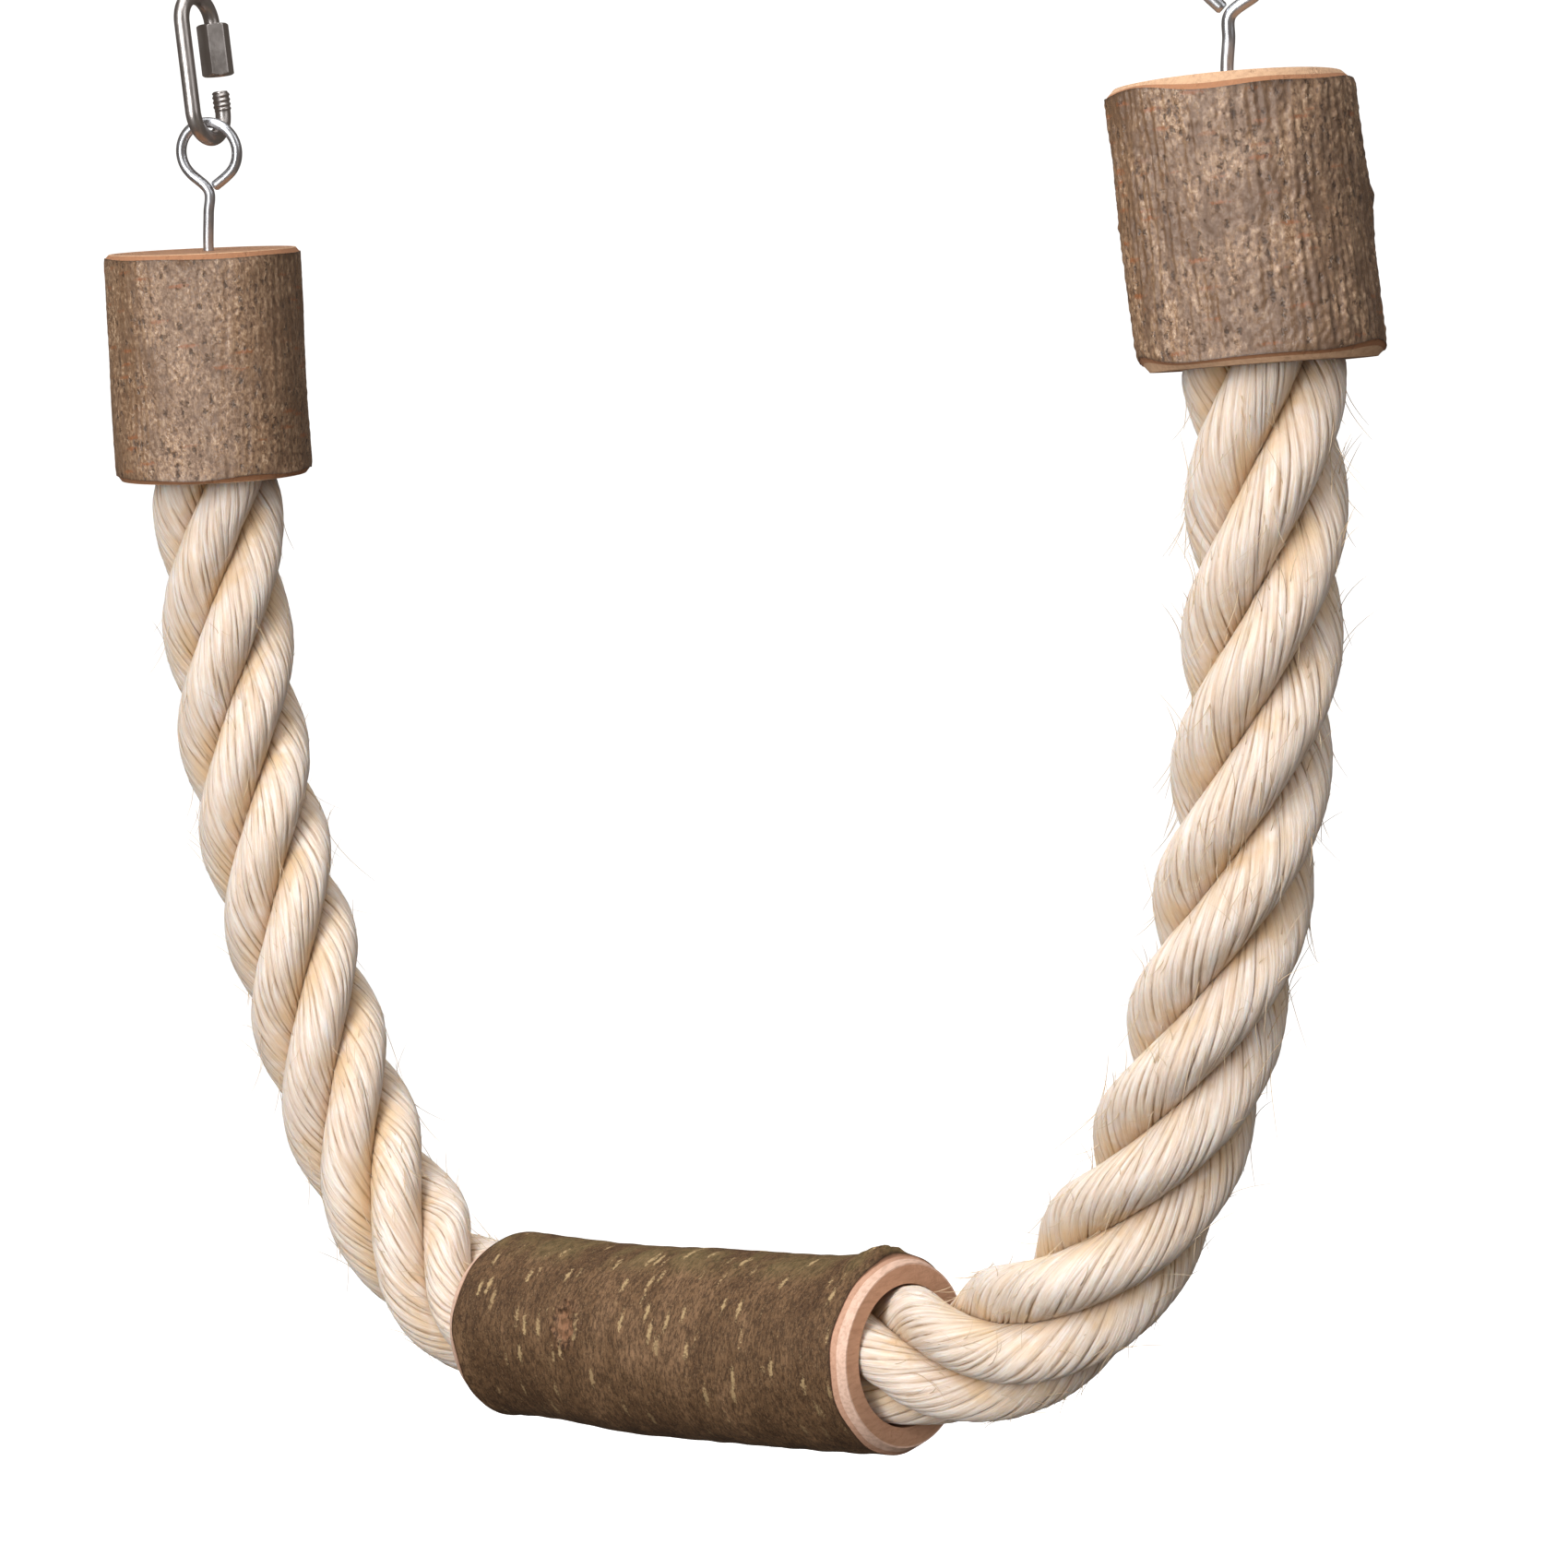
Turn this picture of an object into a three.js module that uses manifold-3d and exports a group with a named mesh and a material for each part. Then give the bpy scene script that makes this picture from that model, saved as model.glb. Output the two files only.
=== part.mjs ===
// Sisal parrot swing: a thick four-strand sisal rope hangs in a U between two bored hazel log caps,
// with a hollow hazel log threaded on its lowest stretch as a rolling perch. A bent-wire eye bolt stands
// on each cap and hangs in a quick link whose sleeve nut is run up, so that the link stands open.
// Millimetres, +Z up, X along the two hanging points. The origin is where a hook bears in the upper bow
// of the left link.

import * as THREE from 'three';
import { mergeVertices } from 'three/addons/utils/BufferGeometryUtils.js';
import Module from 'manifold-3d';

const wasm = await Module();
wasm.setup();

// Clearances
const SEAT_GAP = 0.3;
const EYE_PLAY = 0.7;
const BORE_PLAY = 0.9;
const ROLLER_SEAT = 0.8;
const STRAND_GAP = 0.5;

// Quick links
const HANGER_SPACING = 398;
const LINK_ROD = 5;
const LINK_INNER_LENGTH = 40;
const LINK_INNER_WIDTH = 12;
const LINK_YAW = 15;
const LINK_NUT_LENGTH = 16.5;
const LINK_NUT_FLATS = 9.2;
const NUT_BEVEL = 0.5;
const LINK_MOUTH = 5;
const THREAD_CREST = 0.4;
const THREAD_ROOT = 0.05;
const THREAD_PITCH = 1.5;
const THREAD_RECESS = 1.5;
const UPPER_THREAD_LENGTH = 13;

// Eye bolts
const EYE_WIRE = 3.6;
const EYE_WIDTH = 22.5;
const EYE_HEIGHT = 23.7;
const EYE_END_GAP = 0.6;
const SHANK_STRAIGHT = 1.5;
const BOLT_TIP = 2;
const WASHER_DIAMETER = 12;
const WASHER_THICKNESS = 1;
const LOCK_NUT_FLATS = 7;
const LOCK_NUT_HEIGHT = 4.4;

// Log caps
const CAP_HEIGHT = 73;
const CAP_ROOF = 14;
const CAP_WALL = 10.8;
const CAP_CHAMFER = 2.5;
const ROPE_END_ROOM = 2;
const TAPE_THICKNESS = 0.6;
const TAPE_WIDTH = 18;
const SCREW_DIAMETER = 4;
const SCREW_HEAD_DIAMETER = 8;
const SCREW_HEAD_HEIGHT = 2.6;
const SCREW_RECESS = 1.5;
const SCREW_BITE = 11;
const SCREW_DROP = 24;

// Natural shape of the logs
const LOG_OVAL = 0.5;
const LOG_LOBE = 0.35;

// Rope: four strands laid right-handed round a thin heart
const ROPE_DIAMETER = 40;
const STRAND_COUNT = 4;
const STRAND_DIAMETER = 17.6;
const LAY_LENGTH = 141;
const LAY_PHASE = 62.7;
const LAY_STEPS = 12;
const LAY_SLIP = 4.8;
const SLIP_START = 65;
const SLIP_LENGTH = 280;
const BEND_SLIP = -9;
const LEFT_BEND = [310, 355];
const RIGHT_BEND = [555, 635];
const HEART_DIAMETER = 7;

// Log roller
const ROLLER_LENGTH = 164;
const ROLLER_WALL = 7.7;
const ROLLER_CHAMFER = 2.2;
const ROLLER_CHAMFER_LENGTH = 3.8;
const ROLLER_CUT = [0, 0.05];
const ROLLER_BOW = 2.2;
const KNOB_HEIGHT = 2.4;
const KNOB_SPREAD = 14;
const KNOB_SETBACK = 7;

// Rope route, X and Z in the plane of the swing: out of the left cap, down and round through the roller,
// and up into the right cap. RIGHT_REACH is how far the right hanging point is from the straight stretch in
// this list, and the right leg opens out or closes in with that point.
const LEFT_LEG = [
  [-13.5, -101.3], [-16, -126.4], [-18.1, -151], [-20.2, -176], [-21.6, -201], [-21.5, -226], [-19.2, -251],
  [-15.4, -276], [-9.7, -301], [-3.2, -326.5], [4.4, -352], [14.8, -378], [31.2, -402.4], [51.5, -419.6],
];
const STRAIGHT = [
  [72, -427.2], [85, -427.2], [121, -426.6], [156, -425.9], [191, -425.3], [226, -424.6], [239, -424.2],
];
const RIGHT_LEG = [
  [260, -421.5], [282, -414.2], [303.3, -400.2], [323.6, -379], [340.5, -353.5], [354.4, -324.6],
  [365.8, -295.3], [375, -265.4], [382.4, -235], [388.1, -204.6], [392.1, -174.2], [394.2, -148.2],
  [393.5, -124.2], [392.6, -99.4],
];
const RIGHT_REACH = 159;

// The two ends: where each hangs, how far its bolt stands from the middle of its cap, how the cap's ends are
// sawn askew, and which way its eye is turned. The wire of the right eye closes on its other side.
const LEFT = { name: 'left', hangerX: 0, boltOffset: 3.2, cut: [0.005, 0.005], eyeYaw: 28 };
const RIGHT = { name: 'right', hangerX: HANGER_SPACING, boltOffset: 0, cut: [-0.05, -0.04], eyeYaw: 208 };

// Finishes
const stainless = () => new THREE.MeshStandardMaterial({ color: 0x9c9894, roughness: 0.3, metalness: 1 });
const zinc = () => new THREE.MeshStandardMaterial({ color: 0xb9bcc0, roughness: 0.28, metalness: 1 });
const bark = () => new THREE.MeshStandardMaterial({ color: 0x7d6a57, roughness: 0.85, metalness: 0 });
const oliveBark = () => new THREE.MeshStandardMaterial({ color: 0x5f4c3a, roughness: 0.8, metalness: 0 });
const sisal = () => new THREE.MeshStandardMaterial({ color: 0xdcc8a8, roughness: 0.75, metalness: 0 });
const tapeFilm = () => new THREE.MeshStandardMaterial({ color: 0xc9b48c, roughness: 0.5, metalness: 0 });

const up = new THREE.Vector3(0, 0, 1);
const inPlane = ([x, z]) => new THREE.Vector3(x, 0, z);
const along = (start, direction, distance) => start.clone().addScaledVector(direction, distance);

// A closed mesh becomes a solid for cutting and joining, and a solid becomes a mesh again.
function toSolid(geometry) {
  const bare = geometry.clone();
  bare.deleteAttribute('normal');
  bare.deleteAttribute('uv');
  const merged = mergeVertices(bare, 1e-4);
  const vertProperties = new Float32Array(merged.attributes.position.array);
  const triVerts = new Uint32Array(merged.index.array);
  return new wasm.Manifold(new wasm.Mesh({ numProp: 3, vertProperties, triVerts }));
}

function toGeometry(solid) {
  const mesh = solid.getMesh();
  const geometry = new THREE.BufferGeometry();
  geometry.setAttribute('position', new THREE.BufferAttribute(mesh.vertProperties.slice(), 3));
  geometry.setIndex(new THREE.BufferAttribute(mesh.triVerts.slice(), 1));
  geometry.computeVertexNormals();
  return geometry;
}

// Skins a row of rings that run anticlockwise about the way they advance, and closes both ends.
// crossed[side] picks the other diagonal for the facets of that side.
function loft(rings, crossed = []) {
  const sides = rings[0].length;
  const points = rings.flat();
  const faces = [];
  for (let ring = 0; ring < rings.length - 1; ring += 1) {
    for (let side = 0; side < sides; side += 1) {
      const a = ring * sides + side;
      const b = ring * sides + ((side + 1) % sides);
      const c = a + sides;
      const d = b + sides;
      if (crossed[side]) faces.push(a, b, c, b, d, c);
      else faces.push(a, b, d, a, d, c);
    }
  }
  const lastRing = (rings.length - 1) * sides;
  for (const first of [0, lastRing]) {
    const middle = new THREE.Vector3();
    for (let side = 0; side < sides; side += 1) middle.addScaledVector(points[first + side], 1 / sides);
    const centre = points.push(middle) - 1;
    for (let side = 0; side < sides; side += 1) {
      const here = first + side;
      const next = first + ((side + 1) % sides);
      if (first === lastRing) faces.push(centre, here, next);
      else faces.push(centre, next, here);
    }
  }
  const geometry = new THREE.BufferGeometry().setFromPoints(points);
  geometry.setIndex(faces);
  geometry.computeVertexNormals();
  return geometry;
}

// A ring or a turned piece round +Z, from a profile of [radius, height] corners.
function turned(profile, segments) {
  const points = profile.map(([radius, height]) => new THREE.Vector2(radius, height));
  return new THREE.LatheGeometry(points, segments).rotateX(Math.PI / 2);
}

function turnedRing(inner, outer, bottom, top, segments) {
  return turned([[inner, bottom], [outer, bottom], [outer, top], [inner, top], [inner, bottom]], segments);
}

function turnedRod(radius, bottom, top, segments) {
  return turned([[0, bottom], [radius, bottom], [radius, top], [0, top]], segments);
}

function polygon(outline, radius, sides) {
  const corners = [];
  for (let side = 0; side < sides; side += 1) {
    const angle = (2 * Math.PI * side) / sides;
    corners.push(new THREE.Vector2(radius * Math.cos(angle), radius * Math.sin(angle)));
  }
  return outline.setFromPoints(corners);
}

function bentRod(diameter, extrudePath, steps) {
  const section = polygon(new THREE.Shape(), diameter / 2, 8);
  return new THREE.ExtrudeGeometry(section, { steps, extrudePath, bevelEnabled: false });
}

// A hexagonal nut standing on Z = 0, with its corners and the mouths of its bore bevelled.
function hexNut(flats, height, bore, bevel) {
  const section = polygon(new THREE.Shape(), flats / Math.sqrt(3), 6);
  section.holes.push(polygon(new THREE.Path(), bore / 2, 16));
  const bevelling = { bevelSegments: 1, bevelThickness: bevel, bevelSize: bevel, bevelOffset: -bevel };
  const nut = new THREE.ExtrudeGeometry(section, { depth: height - 2 * bevel, ...bevelling });
  return nut.translate(0, 0, bevel);
}

// A length of branch along +Z with a slightly uneven round. Both rims are bevelled, chamfer deep and rim
// long. cut tips the two sawn ends, bow bends the middle towards +X, and bump(angle, height) raises a knob.
function logBody({ radius, length, chamfer, rim, heights, cut = [0, 0], bow = 0, bump = () => 0 }) {
  const sides = 28;
  const levels = [[0, -chamfer], [rim, 0], ...heights.map((height) => [height, 0])];
  levels.push([length - rim, 0], [length, -chamfer]);
  const rings = levels.map(([height, inset]) => {
    const ring = [];
    for (let side = 0; side < sides; side += 1) {
      const angle = (2 * Math.PI * side) / sides;
      const uneven = LOG_OVAL * Math.cos(2 * angle + 1) + LOG_LOBE * Math.cos(3 * angle + height / 30);
      const reach = radius + inset + uneven + bump(angle, height);
      const sag = bow * (1 - (2 * height / length - 1) ** 2);
      const x = reach * Math.cos(angle);
      const y = reach * Math.sin(angle);
      ring.push(new THREE.Vector3(x + sag, y, height + cut[0] * x + cut[1] * y));
    }
    return ring;
  });
  return loft(rings);
}

const swing = new THREE.Group();

function add(parent, name, geometry, material) {
  const mesh = new THREE.Mesh(geometry, material);
  mesh.name = name;
  parent.add(mesh);
}

// Rope route as one curve
const straightEndX = STRAIGHT.at(-1)[0];
const opening = (HANGER_SPACING - straightEndX) / RIGHT_REACH;
const rightLeg = RIGHT_LEG.map(([x, z]) => [straightEndX + (x - straightEndX) * opening, z]);
const route = [...LEFT_LEG, ...STRAIGHT, ...rightLeg].map(inPlane);
const routeCurve = new THREE.CatmullRomCurve3(route);
routeCurve.arcLengthDivisions = 2000;
const ropeLength = routeCurve.getLength();

// Sizes that follow from the rope
const ropeRadius = ROPE_DIAMETER / 2;
const socketRadius = ropeRadius + SEAT_GAP + TAPE_THICKNESS + SEAT_GAP;
const capRadius = socketRadius + CAP_WALL;
const boreRadius = ropeRadius + BORE_PLAY;
const rollerRadius = boreRadius + ROLLER_WALL;
const washerSeat = CAP_ROOF + SEAT_GAP;
const lockNutSeat = washerSeat + WASHER_THICKNESS + SEAT_GAP;
const boltTipDepth = lockNutSeat + LOCK_NUT_HEIGHT + BOLT_TIP;
const ropeEndDepth = boltTipDepth + ROPE_END_ROOM;

// Countersunk screw lying along -Z, its head up, grown all round by a clearance for its hole. mouth is
// how far the hole runs on above the head.
const screwReach = capRadius - SCREW_RECESS - ropeRadius + SCREW_BITE;
function countersunkScrew(grow, mouth) {
  const shank = SCREW_DIAMETER / 2 + grow;
  const head = SCREW_HEAD_DIAMETER / 2 + grow;
  const tip = -screwReach - grow;
  const profile = [[0, tip], [shank, tip + SCREW_DIAMETER], [shank, -SCREW_HEAD_HEIGHT], [head, 0]];
  if (mouth > 0) profile.push([head, mouth]);
  profile.push([0, mouth]);
  return turned(profile, 12);
}

// The screw's place in a cap's frame: in the back wall, pointing at the rope's middle
function atScrew(geometry) {
  geometry.rotateX(-Math.PI / 2);
  return geometry.translate(0, capRadius - SCREW_RECESS, -ropeEndDepth - SCREW_DROP);
}

// Heights along a link, from the hook's seat at Z = 0
const linkBow = (LINK_INNER_WIDTH + LINK_ROD) / 2;
const upperBowZ = LINK_ROD / 2 - linkBow;
const lowerBowZ = linkBow - LINK_INNER_LENGTH - LINK_ROD / 2;
const nutBottomZ = upperBowZ - LINK_NUT_LENGTH;
const upperEndZ = nutBottomZ + THREAD_RECESS;
const stubTopZ = nutBottomZ - LINK_MOUTH;
const threadRadius = LINK_ROD / 2 + THREAD_CREST;
const eyeTopZ = EYE_PLAY + EYE_WIRE / 2 - LINK_INNER_LENGTH;

// The link's middle line: up into one leg, over the upper bow, down the other leg, round the lower bow and
// up into the stub. Both ends stop inside their threads.
class LinkLine extends THREE.Curve {
  constructor() {
    super();
    const bend = Math.PI * linkBow;
    const startZ = upperEndZ + THREAD_RECESS;
    const endZ = stubTopZ - THREAD_PITCH;
    this.stretches = [
      [upperBowZ - startZ, (run) => [linkBow, startZ + run]],
      [bend, (run) => [linkBow * Math.cos(run / linkBow), upperBowZ + linkBow * Math.sin(run / linkBow)]],
      [upperBowZ - lowerBowZ, (run) => [-linkBow, upperBowZ - run]],
      [bend, (run) => [-linkBow * Math.cos(run / linkBow), lowerBowZ - linkBow * Math.sin(run / linkBow)]],
      [endZ - lowerBowZ, (run) => [linkBow, lowerBowZ + run]],
    ];
  }

  getPoint(share) {
    const whole = this.stretches.reduce((sum, [length]) => sum + length, 0);
    let run = share * whole;
    let index = 0;
    while (index < this.stretches.length - 1 && run > this.stretches[index][0]) {
      run -= this.stretches[index][0];
      index += 1;
    }
    return new THREE.Vector3(0, ...this.stretches[index][1](run));
  }
}

// One round rod bent to a long ring, open on one leg, with a threaded end above and below the mouth
function quickLink() {
  const rod = bentRod(LINK_ROD, new LinkLine(), 48);
  const upperThread = turnedRod(threadRadius, upperEndZ, upperEndZ + UPPER_THREAD_LENGTH, 12);
  const ridges = Math.round((stubTopZ - lowerBowZ) / THREAD_PITCH);
  const ridgeHeight = (stubTopZ - lowerBowZ) / ridges;
  const root = LINK_ROD / 2 + THREAD_ROOT;
  const profile = [[0, lowerBowZ]];
  for (let ridge = 0; ridge < ridges; ridge += 1) {
    profile.push([root, lowerBowZ + ridge * ridgeHeight]);
    profile.push([threadRadius, lowerBowZ + (ridge + 0.5) * ridgeHeight]);
  }
  profile.push([root, stubTopZ], [0, stubTopZ]);
  const stubThread = turned(profile, 12);
  const [upper, lower] = [upperThread, stubThread].map((thread) => toSolid(thread.translate(0, linkBow, 0)));
  return toGeometry(toSolid(rod).add(upper).add(lower));
}

// Wire bent to a pear-shaped eye: the shank runs up one side, round over the link and back to the neck
function eyeBolt(tip, exit, top, eyeYaw) {
  const radius = (EYE_WIDTH - EYE_WIRE) / 2;
  const lift = EYE_HEIGHT - EYE_WIDTH / 2;
  const eyeUp = top.clone().sub(exit).normalize();
  const yaw = THREE.MathUtils.degToRad(eyeYaw);
  const across = new THREE.Vector3(Math.cos(yaw), Math.sin(yaw), 0);
  across.addScaledVector(eyeUp, -across.dot(eyeUp)).normalize();
  const neck = along(top, eyeUp, EYE_WIRE / 2 - EYE_HEIGHT);
  const inEye = (sideways, height) => along(along(neck, across, sideways), eyeUp, height);
  const spread = Math.asin(radius / lift);
  const points = [tip, tip.clone().lerp(exit, 0.5), exit, exit.clone().lerp(neck, 0.6), neck];
  const steps = 16;
  for (let step = 0; step <= steps; step += 1) {
    const angle = Math.PI + spread - ((Math.PI + 2 * spread) * step) / steps;
    points.push(inEye(radius * Math.cos(angle), lift + radius * Math.sin(angle)));
  }
  const end = EYE_WIRE / 2 + EYE_END_GAP;
  points.push(inEye(end * Math.sin(spread), end * Math.cos(spread)));
  return bentRod(EYE_WIRE, new THREE.CatmullRomCurve3(points), 52);
}

// Everything at one end of the swing. ropeEnd and below are the rope's last two route points there.
function hangingEnd({ name, hangerX, boltOffset, cut, eyeYaw }, ropeEnd, below) {
  const hanger = new THREE.Group();
  hanger.position.set(hangerX, 0, 0);
  hanger.rotation.z = THREE.MathUtils.degToRad(LINK_YAW);
  swing.add(hanger);
  add(hanger, `${name}_quick_link`, quickLink(), stainless());
  const nutBore = 2 * (threadRadius + SEAT_GAP);
  const nut = hexNut(LINK_NUT_FLATS, LINK_NUT_LENGTH, nutBore, NUT_BEVEL);
  add(hanger, `${name}_link_nut`, nut.translate(0, linkBow, nutBottomZ), stainless());

  const capUp = ropeEnd.clone().sub(below).normalize();
  const cap = new THREE.Group();
  cap.position.copy(along(ropeEnd, capUp, ropeEndDepth));
  cap.quaternion.setFromUnitVectors(up, capUp);
  cap.updateMatrixWorld();
  swing.add(cap);
  const inCap = (x, z) => cap.localToWorld(new THREE.Vector3(x, 0, z));

  const exit = inCap(boltOffset, SHANK_STRAIGHT);
  const eyeTop = new THREE.Vector3(hangerX, 0, eyeTopZ);
  const wire = eyeBolt(inCap(boltOffset, -boltTipDepth), exit, eyeTop, eyeYaw);
  add(swing, `${name}_eye_bolt`, wire, zinc());

  const wireHole = EYE_WIRE / 2 + SEAT_GAP;
  const washer = turnedRing(wireHole, WASHER_DIAMETER / 2, -washerSeat - WASHER_THICKNESS, -washerSeat, 18);
  add(cap, `${name}_eye_washer`, washer.translate(boltOffset, 0, 0), zinc());
  const lockNut = hexNut(LOCK_NUT_FLATS, LOCK_NUT_HEIGHT, 2 * wireHole, NUT_BEVEL);
  add(cap, `${name}_lock_nut`, lockNut.translate(boltOffset, 0, -lockNutSeat - LOCK_NUT_HEIGHT), zinc());

  const body = logBody({
    radius: capRadius,
    length: CAP_HEIGHT,
    chamfer: CAP_CHAMFER,
    rim: CAP_CHAMFER,
    heights: [CAP_HEIGHT / 3, (2 * CAP_HEIGHT) / 3],
    cut,
  });
  const past = capRadius;
  const socket = turnedRod(socketRadius, -CAP_HEIGHT - past, -CAP_ROOF, 28);
  const boltHole = turnedRod(wireHole, -CAP_ROOF - past, past, 12).translate(boltOffset, 0, 0);
  const capSolid = toSolid(body.translate(0, 0, -CAP_HEIGHT))
    .subtract(toSolid(socket))
    .subtract(toSolid(boltHole))
    .subtract(toSolid(atScrew(countersunkScrew(SEAT_GAP, past))));
  add(cap, `${name}_log_cap`, toGeometry(capSolid), bark());
  add(cap, `${name}_rope_screw`, atScrew(countersunkScrew(0, 0)), stainless());

  const tapeInner = ropeRadius + SEAT_GAP;
  const tapeBottom = -ropeEndDepth - TAPE_WIDTH;
  const tape = turnedRing(tapeInner, tapeInner + TAPE_THICKNESS, tapeBottom, -ropeEndDepth, 28);
  add(cap, `${name}_rope_tape`, tape, tapeFilm());
  return toSolid(atScrew(countersunkScrew(SEAT_GAP, past)).applyMatrix4(cap.matrixWorld));
}

const screwHoles = [
  hangingEnd(LEFT, route[0], route[1]),
  hangingEnd(RIGHT, route.at(-1), route.at(-2)),
];

// Cross-section of one strand as [angle, radius, sideways shift] corners: an arc round the heart, two flanks
// against the neighbours, and the crown of a round strand that reaches the rope's full radius
const halfStrand = Math.PI / STRAND_COUNT;
const strandRadius = STRAND_DIAMETER / 2;
const strandOffset = ropeRadius - strandRadius;
function crownRadius(angle) {
  const aside = strandOffset * Math.sin(angle);
  return strandOffset * Math.cos(angle) + Math.sqrt(Math.max(0, strandRadius ** 2 - aside ** 2));
}

function strandSection() {
  const valley = crownRadius(halfStrand);
  const inner = HEART_DIAMETER / 2 + SEAT_GAP / Math.cos(halfStrand / 2);
  const crown = [-0.8, -0.45, 0, 0.45, 0.8].map((share) => [
    share * halfStrand,
    crownRadius(share * halfStrand),
    0,
  ]);
  const flank = STRAND_GAP / 2;
  return [
    [-halfStrand, inner, flank],
    [-halfStrand, valley, flank],
    ...crown,
    [halfStrand, valley, -flank],
    [halfStrand, inner, -flank],
    [0, inner, 0],
  ];
}

// How far use has worked the strands along the rope: down the upper half of the left leg and up its lower half,
// and to the left between the two bends
function laySlip(run) {
  const share = (run - SLIP_START) / SLIP_LENGTH;
  const onLeg = share > 0 && share < 1 ? Math.sin(2 * Math.PI * share) : 0;
  const { smoothstep } = THREE.MathUtils;
  const inBends = smoothstep(run, ...LEFT_BEND) - smoothstep(run, ...RIGHT_BEND);
  return LAY_SLIP * onLeg + BEND_SLIP * inBends;
}

// Rings of a section carried along the route and turned with the lay. The plane of the swing holds the
// route, so its sideways axis is always Y.
const stationCount = Math.round(ropeLength / (LAY_LENGTH / LAY_STEPS));
function laidRings(section, startAngle, stations) {
  const sideways = new THREE.Vector3(0, 1, 0);
  const rings = [];
  for (let station = 0; station <= stations; station += 1) {
    const share = station / stations;
    const centre = routeCurve.getPointAt(share);
    const normal = sideways.clone().cross(routeCurve.getTangentAt(share)).normalize();
    const run = share * ropeLength;
    const turn = startAngle + (2 * Math.PI * (run - laySlip(run))) / LAY_LENGTH;
    rings.push(section.map(([angle, radius, shift]) => {
      const x = radius * Math.cos(turn + angle) - shift * Math.sin(turn + angle);
      const y = radius * Math.sin(turn + angle) + shift * Math.cos(turn + angle);
      return along(along(centre, normal, x), sideways, y);
    }));
  }
  return rings;
}

// Facets of both flanks are split from the heart outwards along the lay, so that neighbours stay parallel.
const section = strandSection();
const splitInwards = section.map(([, radius], side) => radius > section[(side + 1) % section.length][1]);
for (let strand = 0; strand < STRAND_COUNT; strand += 1) {
  const startAngle = THREE.MathUtils.degToRad(LAY_PHASE) + (2 * Math.PI * strand) / STRAND_COUNT;
  const whole = toSolid(loft(laidRings(section, startAngle, stationCount), splitInwards));
  const drilled = screwHoles.reduce((rest, hole) => rest.subtract(hole), whole);
  add(swing, `rope_strand_${strand + 1}`, toGeometry(drilled), sisal());
}

// The heart has two sides under each strand, and its facets are split as theirs are.
const heartSection = [];
for (let side = 0; side < 2 * STRAND_COUNT; side += 1) {
  heartSection.push([side * halfStrand, HEART_DIAMETER / 2, 0]);
}
const heartRings = laidRings(heartSection, THREE.MathUtils.degToRad(LAY_PHASE), stationCount);
add(swing, 'rope_heart', loft(heartRings, heartSection.map(() => true)), sisal());

// The roller hangs on the rope's straight stretch: the top of its bore rests on the rope.
const straightStart = inPlane(STRAIGHT[0]);
const straightEnd = inPlane(STRAIGHT.at(-1));
const rollerAxis = straightEnd.clone().sub(straightStart).normalize();
const rollerDrop = BORE_PLAY - ROLLER_SEAT;
const roller = new THREE.Group();
roller.position.copy(straightStart.clone().lerp(straightEnd, 0.5));
roller.position.addScaledVector(up, -rollerDrop);
roller.quaternion.setFromUnitVectors(up, rollerAxis);
swing.add(roller);
const knobZ = ROLLER_LENGTH - KNOB_SETBACK;
const knob = (angle, height) => {
  const aside = (Math.abs(angle - Math.PI) * rollerRadius) / KNOB_SPREAD;
  const away = (height - knobZ) / KNOB_SPREAD;
  return KNOB_HEIGHT * Math.exp(-2 * (aside ** 2 + away ** 2));
};
const rollerBody = logBody({
  radius: rollerRadius,
  length: ROLLER_LENGTH,
  chamfer: ROLLER_CHAMFER,
  rim: ROLLER_CHAMFER_LENGTH,
  cut: ROLLER_CUT,
  heights: [0.2 * ROLLER_LENGTH, 0.4 * ROLLER_LENGTH, 0.6 * ROLLER_LENGTH, 0.8 * ROLLER_LENGTH, knobZ],
  bow: ROLLER_BOW,
  bump: knob,
});
const bore = turnedRod(boreRadius, -ROLLER_LENGTH, 2 * ROLLER_LENGTH, 28);
const rollerSolid = toSolid(rollerBody).subtract(toSolid(bore));
add(roller, 'log_roller', toGeometry(rollerSolid).translate(0, 0, -ROLLER_LENGTH / 2), oliveBark());

export default swing;
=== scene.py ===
# Sisal parrot swing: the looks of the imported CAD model, in metres, in the CAD model's frame.
# A laid sisal rope hangs in a U between two bored hazel caps, with a hollow log rolling on its lowest stretch.

import bpy
import numpy as np
from mathutils import Matrix


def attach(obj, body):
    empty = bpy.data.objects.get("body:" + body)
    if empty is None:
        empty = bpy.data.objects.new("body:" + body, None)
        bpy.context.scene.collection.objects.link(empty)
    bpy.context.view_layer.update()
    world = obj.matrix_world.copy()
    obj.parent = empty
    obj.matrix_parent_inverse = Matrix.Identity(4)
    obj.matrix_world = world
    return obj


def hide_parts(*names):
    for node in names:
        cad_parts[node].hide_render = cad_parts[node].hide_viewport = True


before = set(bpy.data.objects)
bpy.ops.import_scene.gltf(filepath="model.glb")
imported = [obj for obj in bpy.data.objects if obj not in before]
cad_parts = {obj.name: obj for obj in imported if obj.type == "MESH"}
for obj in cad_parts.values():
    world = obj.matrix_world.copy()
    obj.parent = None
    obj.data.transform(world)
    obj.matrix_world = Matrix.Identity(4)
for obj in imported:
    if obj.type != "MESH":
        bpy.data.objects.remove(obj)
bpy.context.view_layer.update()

# Studio: a white paper sweep well below and behind the swing, and large soft lights round the camera and behind.
# The camera stands to the right of the swing, a little above its middle, and is tipped a few degrees.
# The room is dim to the swing, so that shadows stay dark, and white to the camera.
UP = np.array([0, 0, 1])
VIEW_TARGET = np.array([0.21405, 0, -0.2554])
VIEW_DISTANCE = 1.14328
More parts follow.
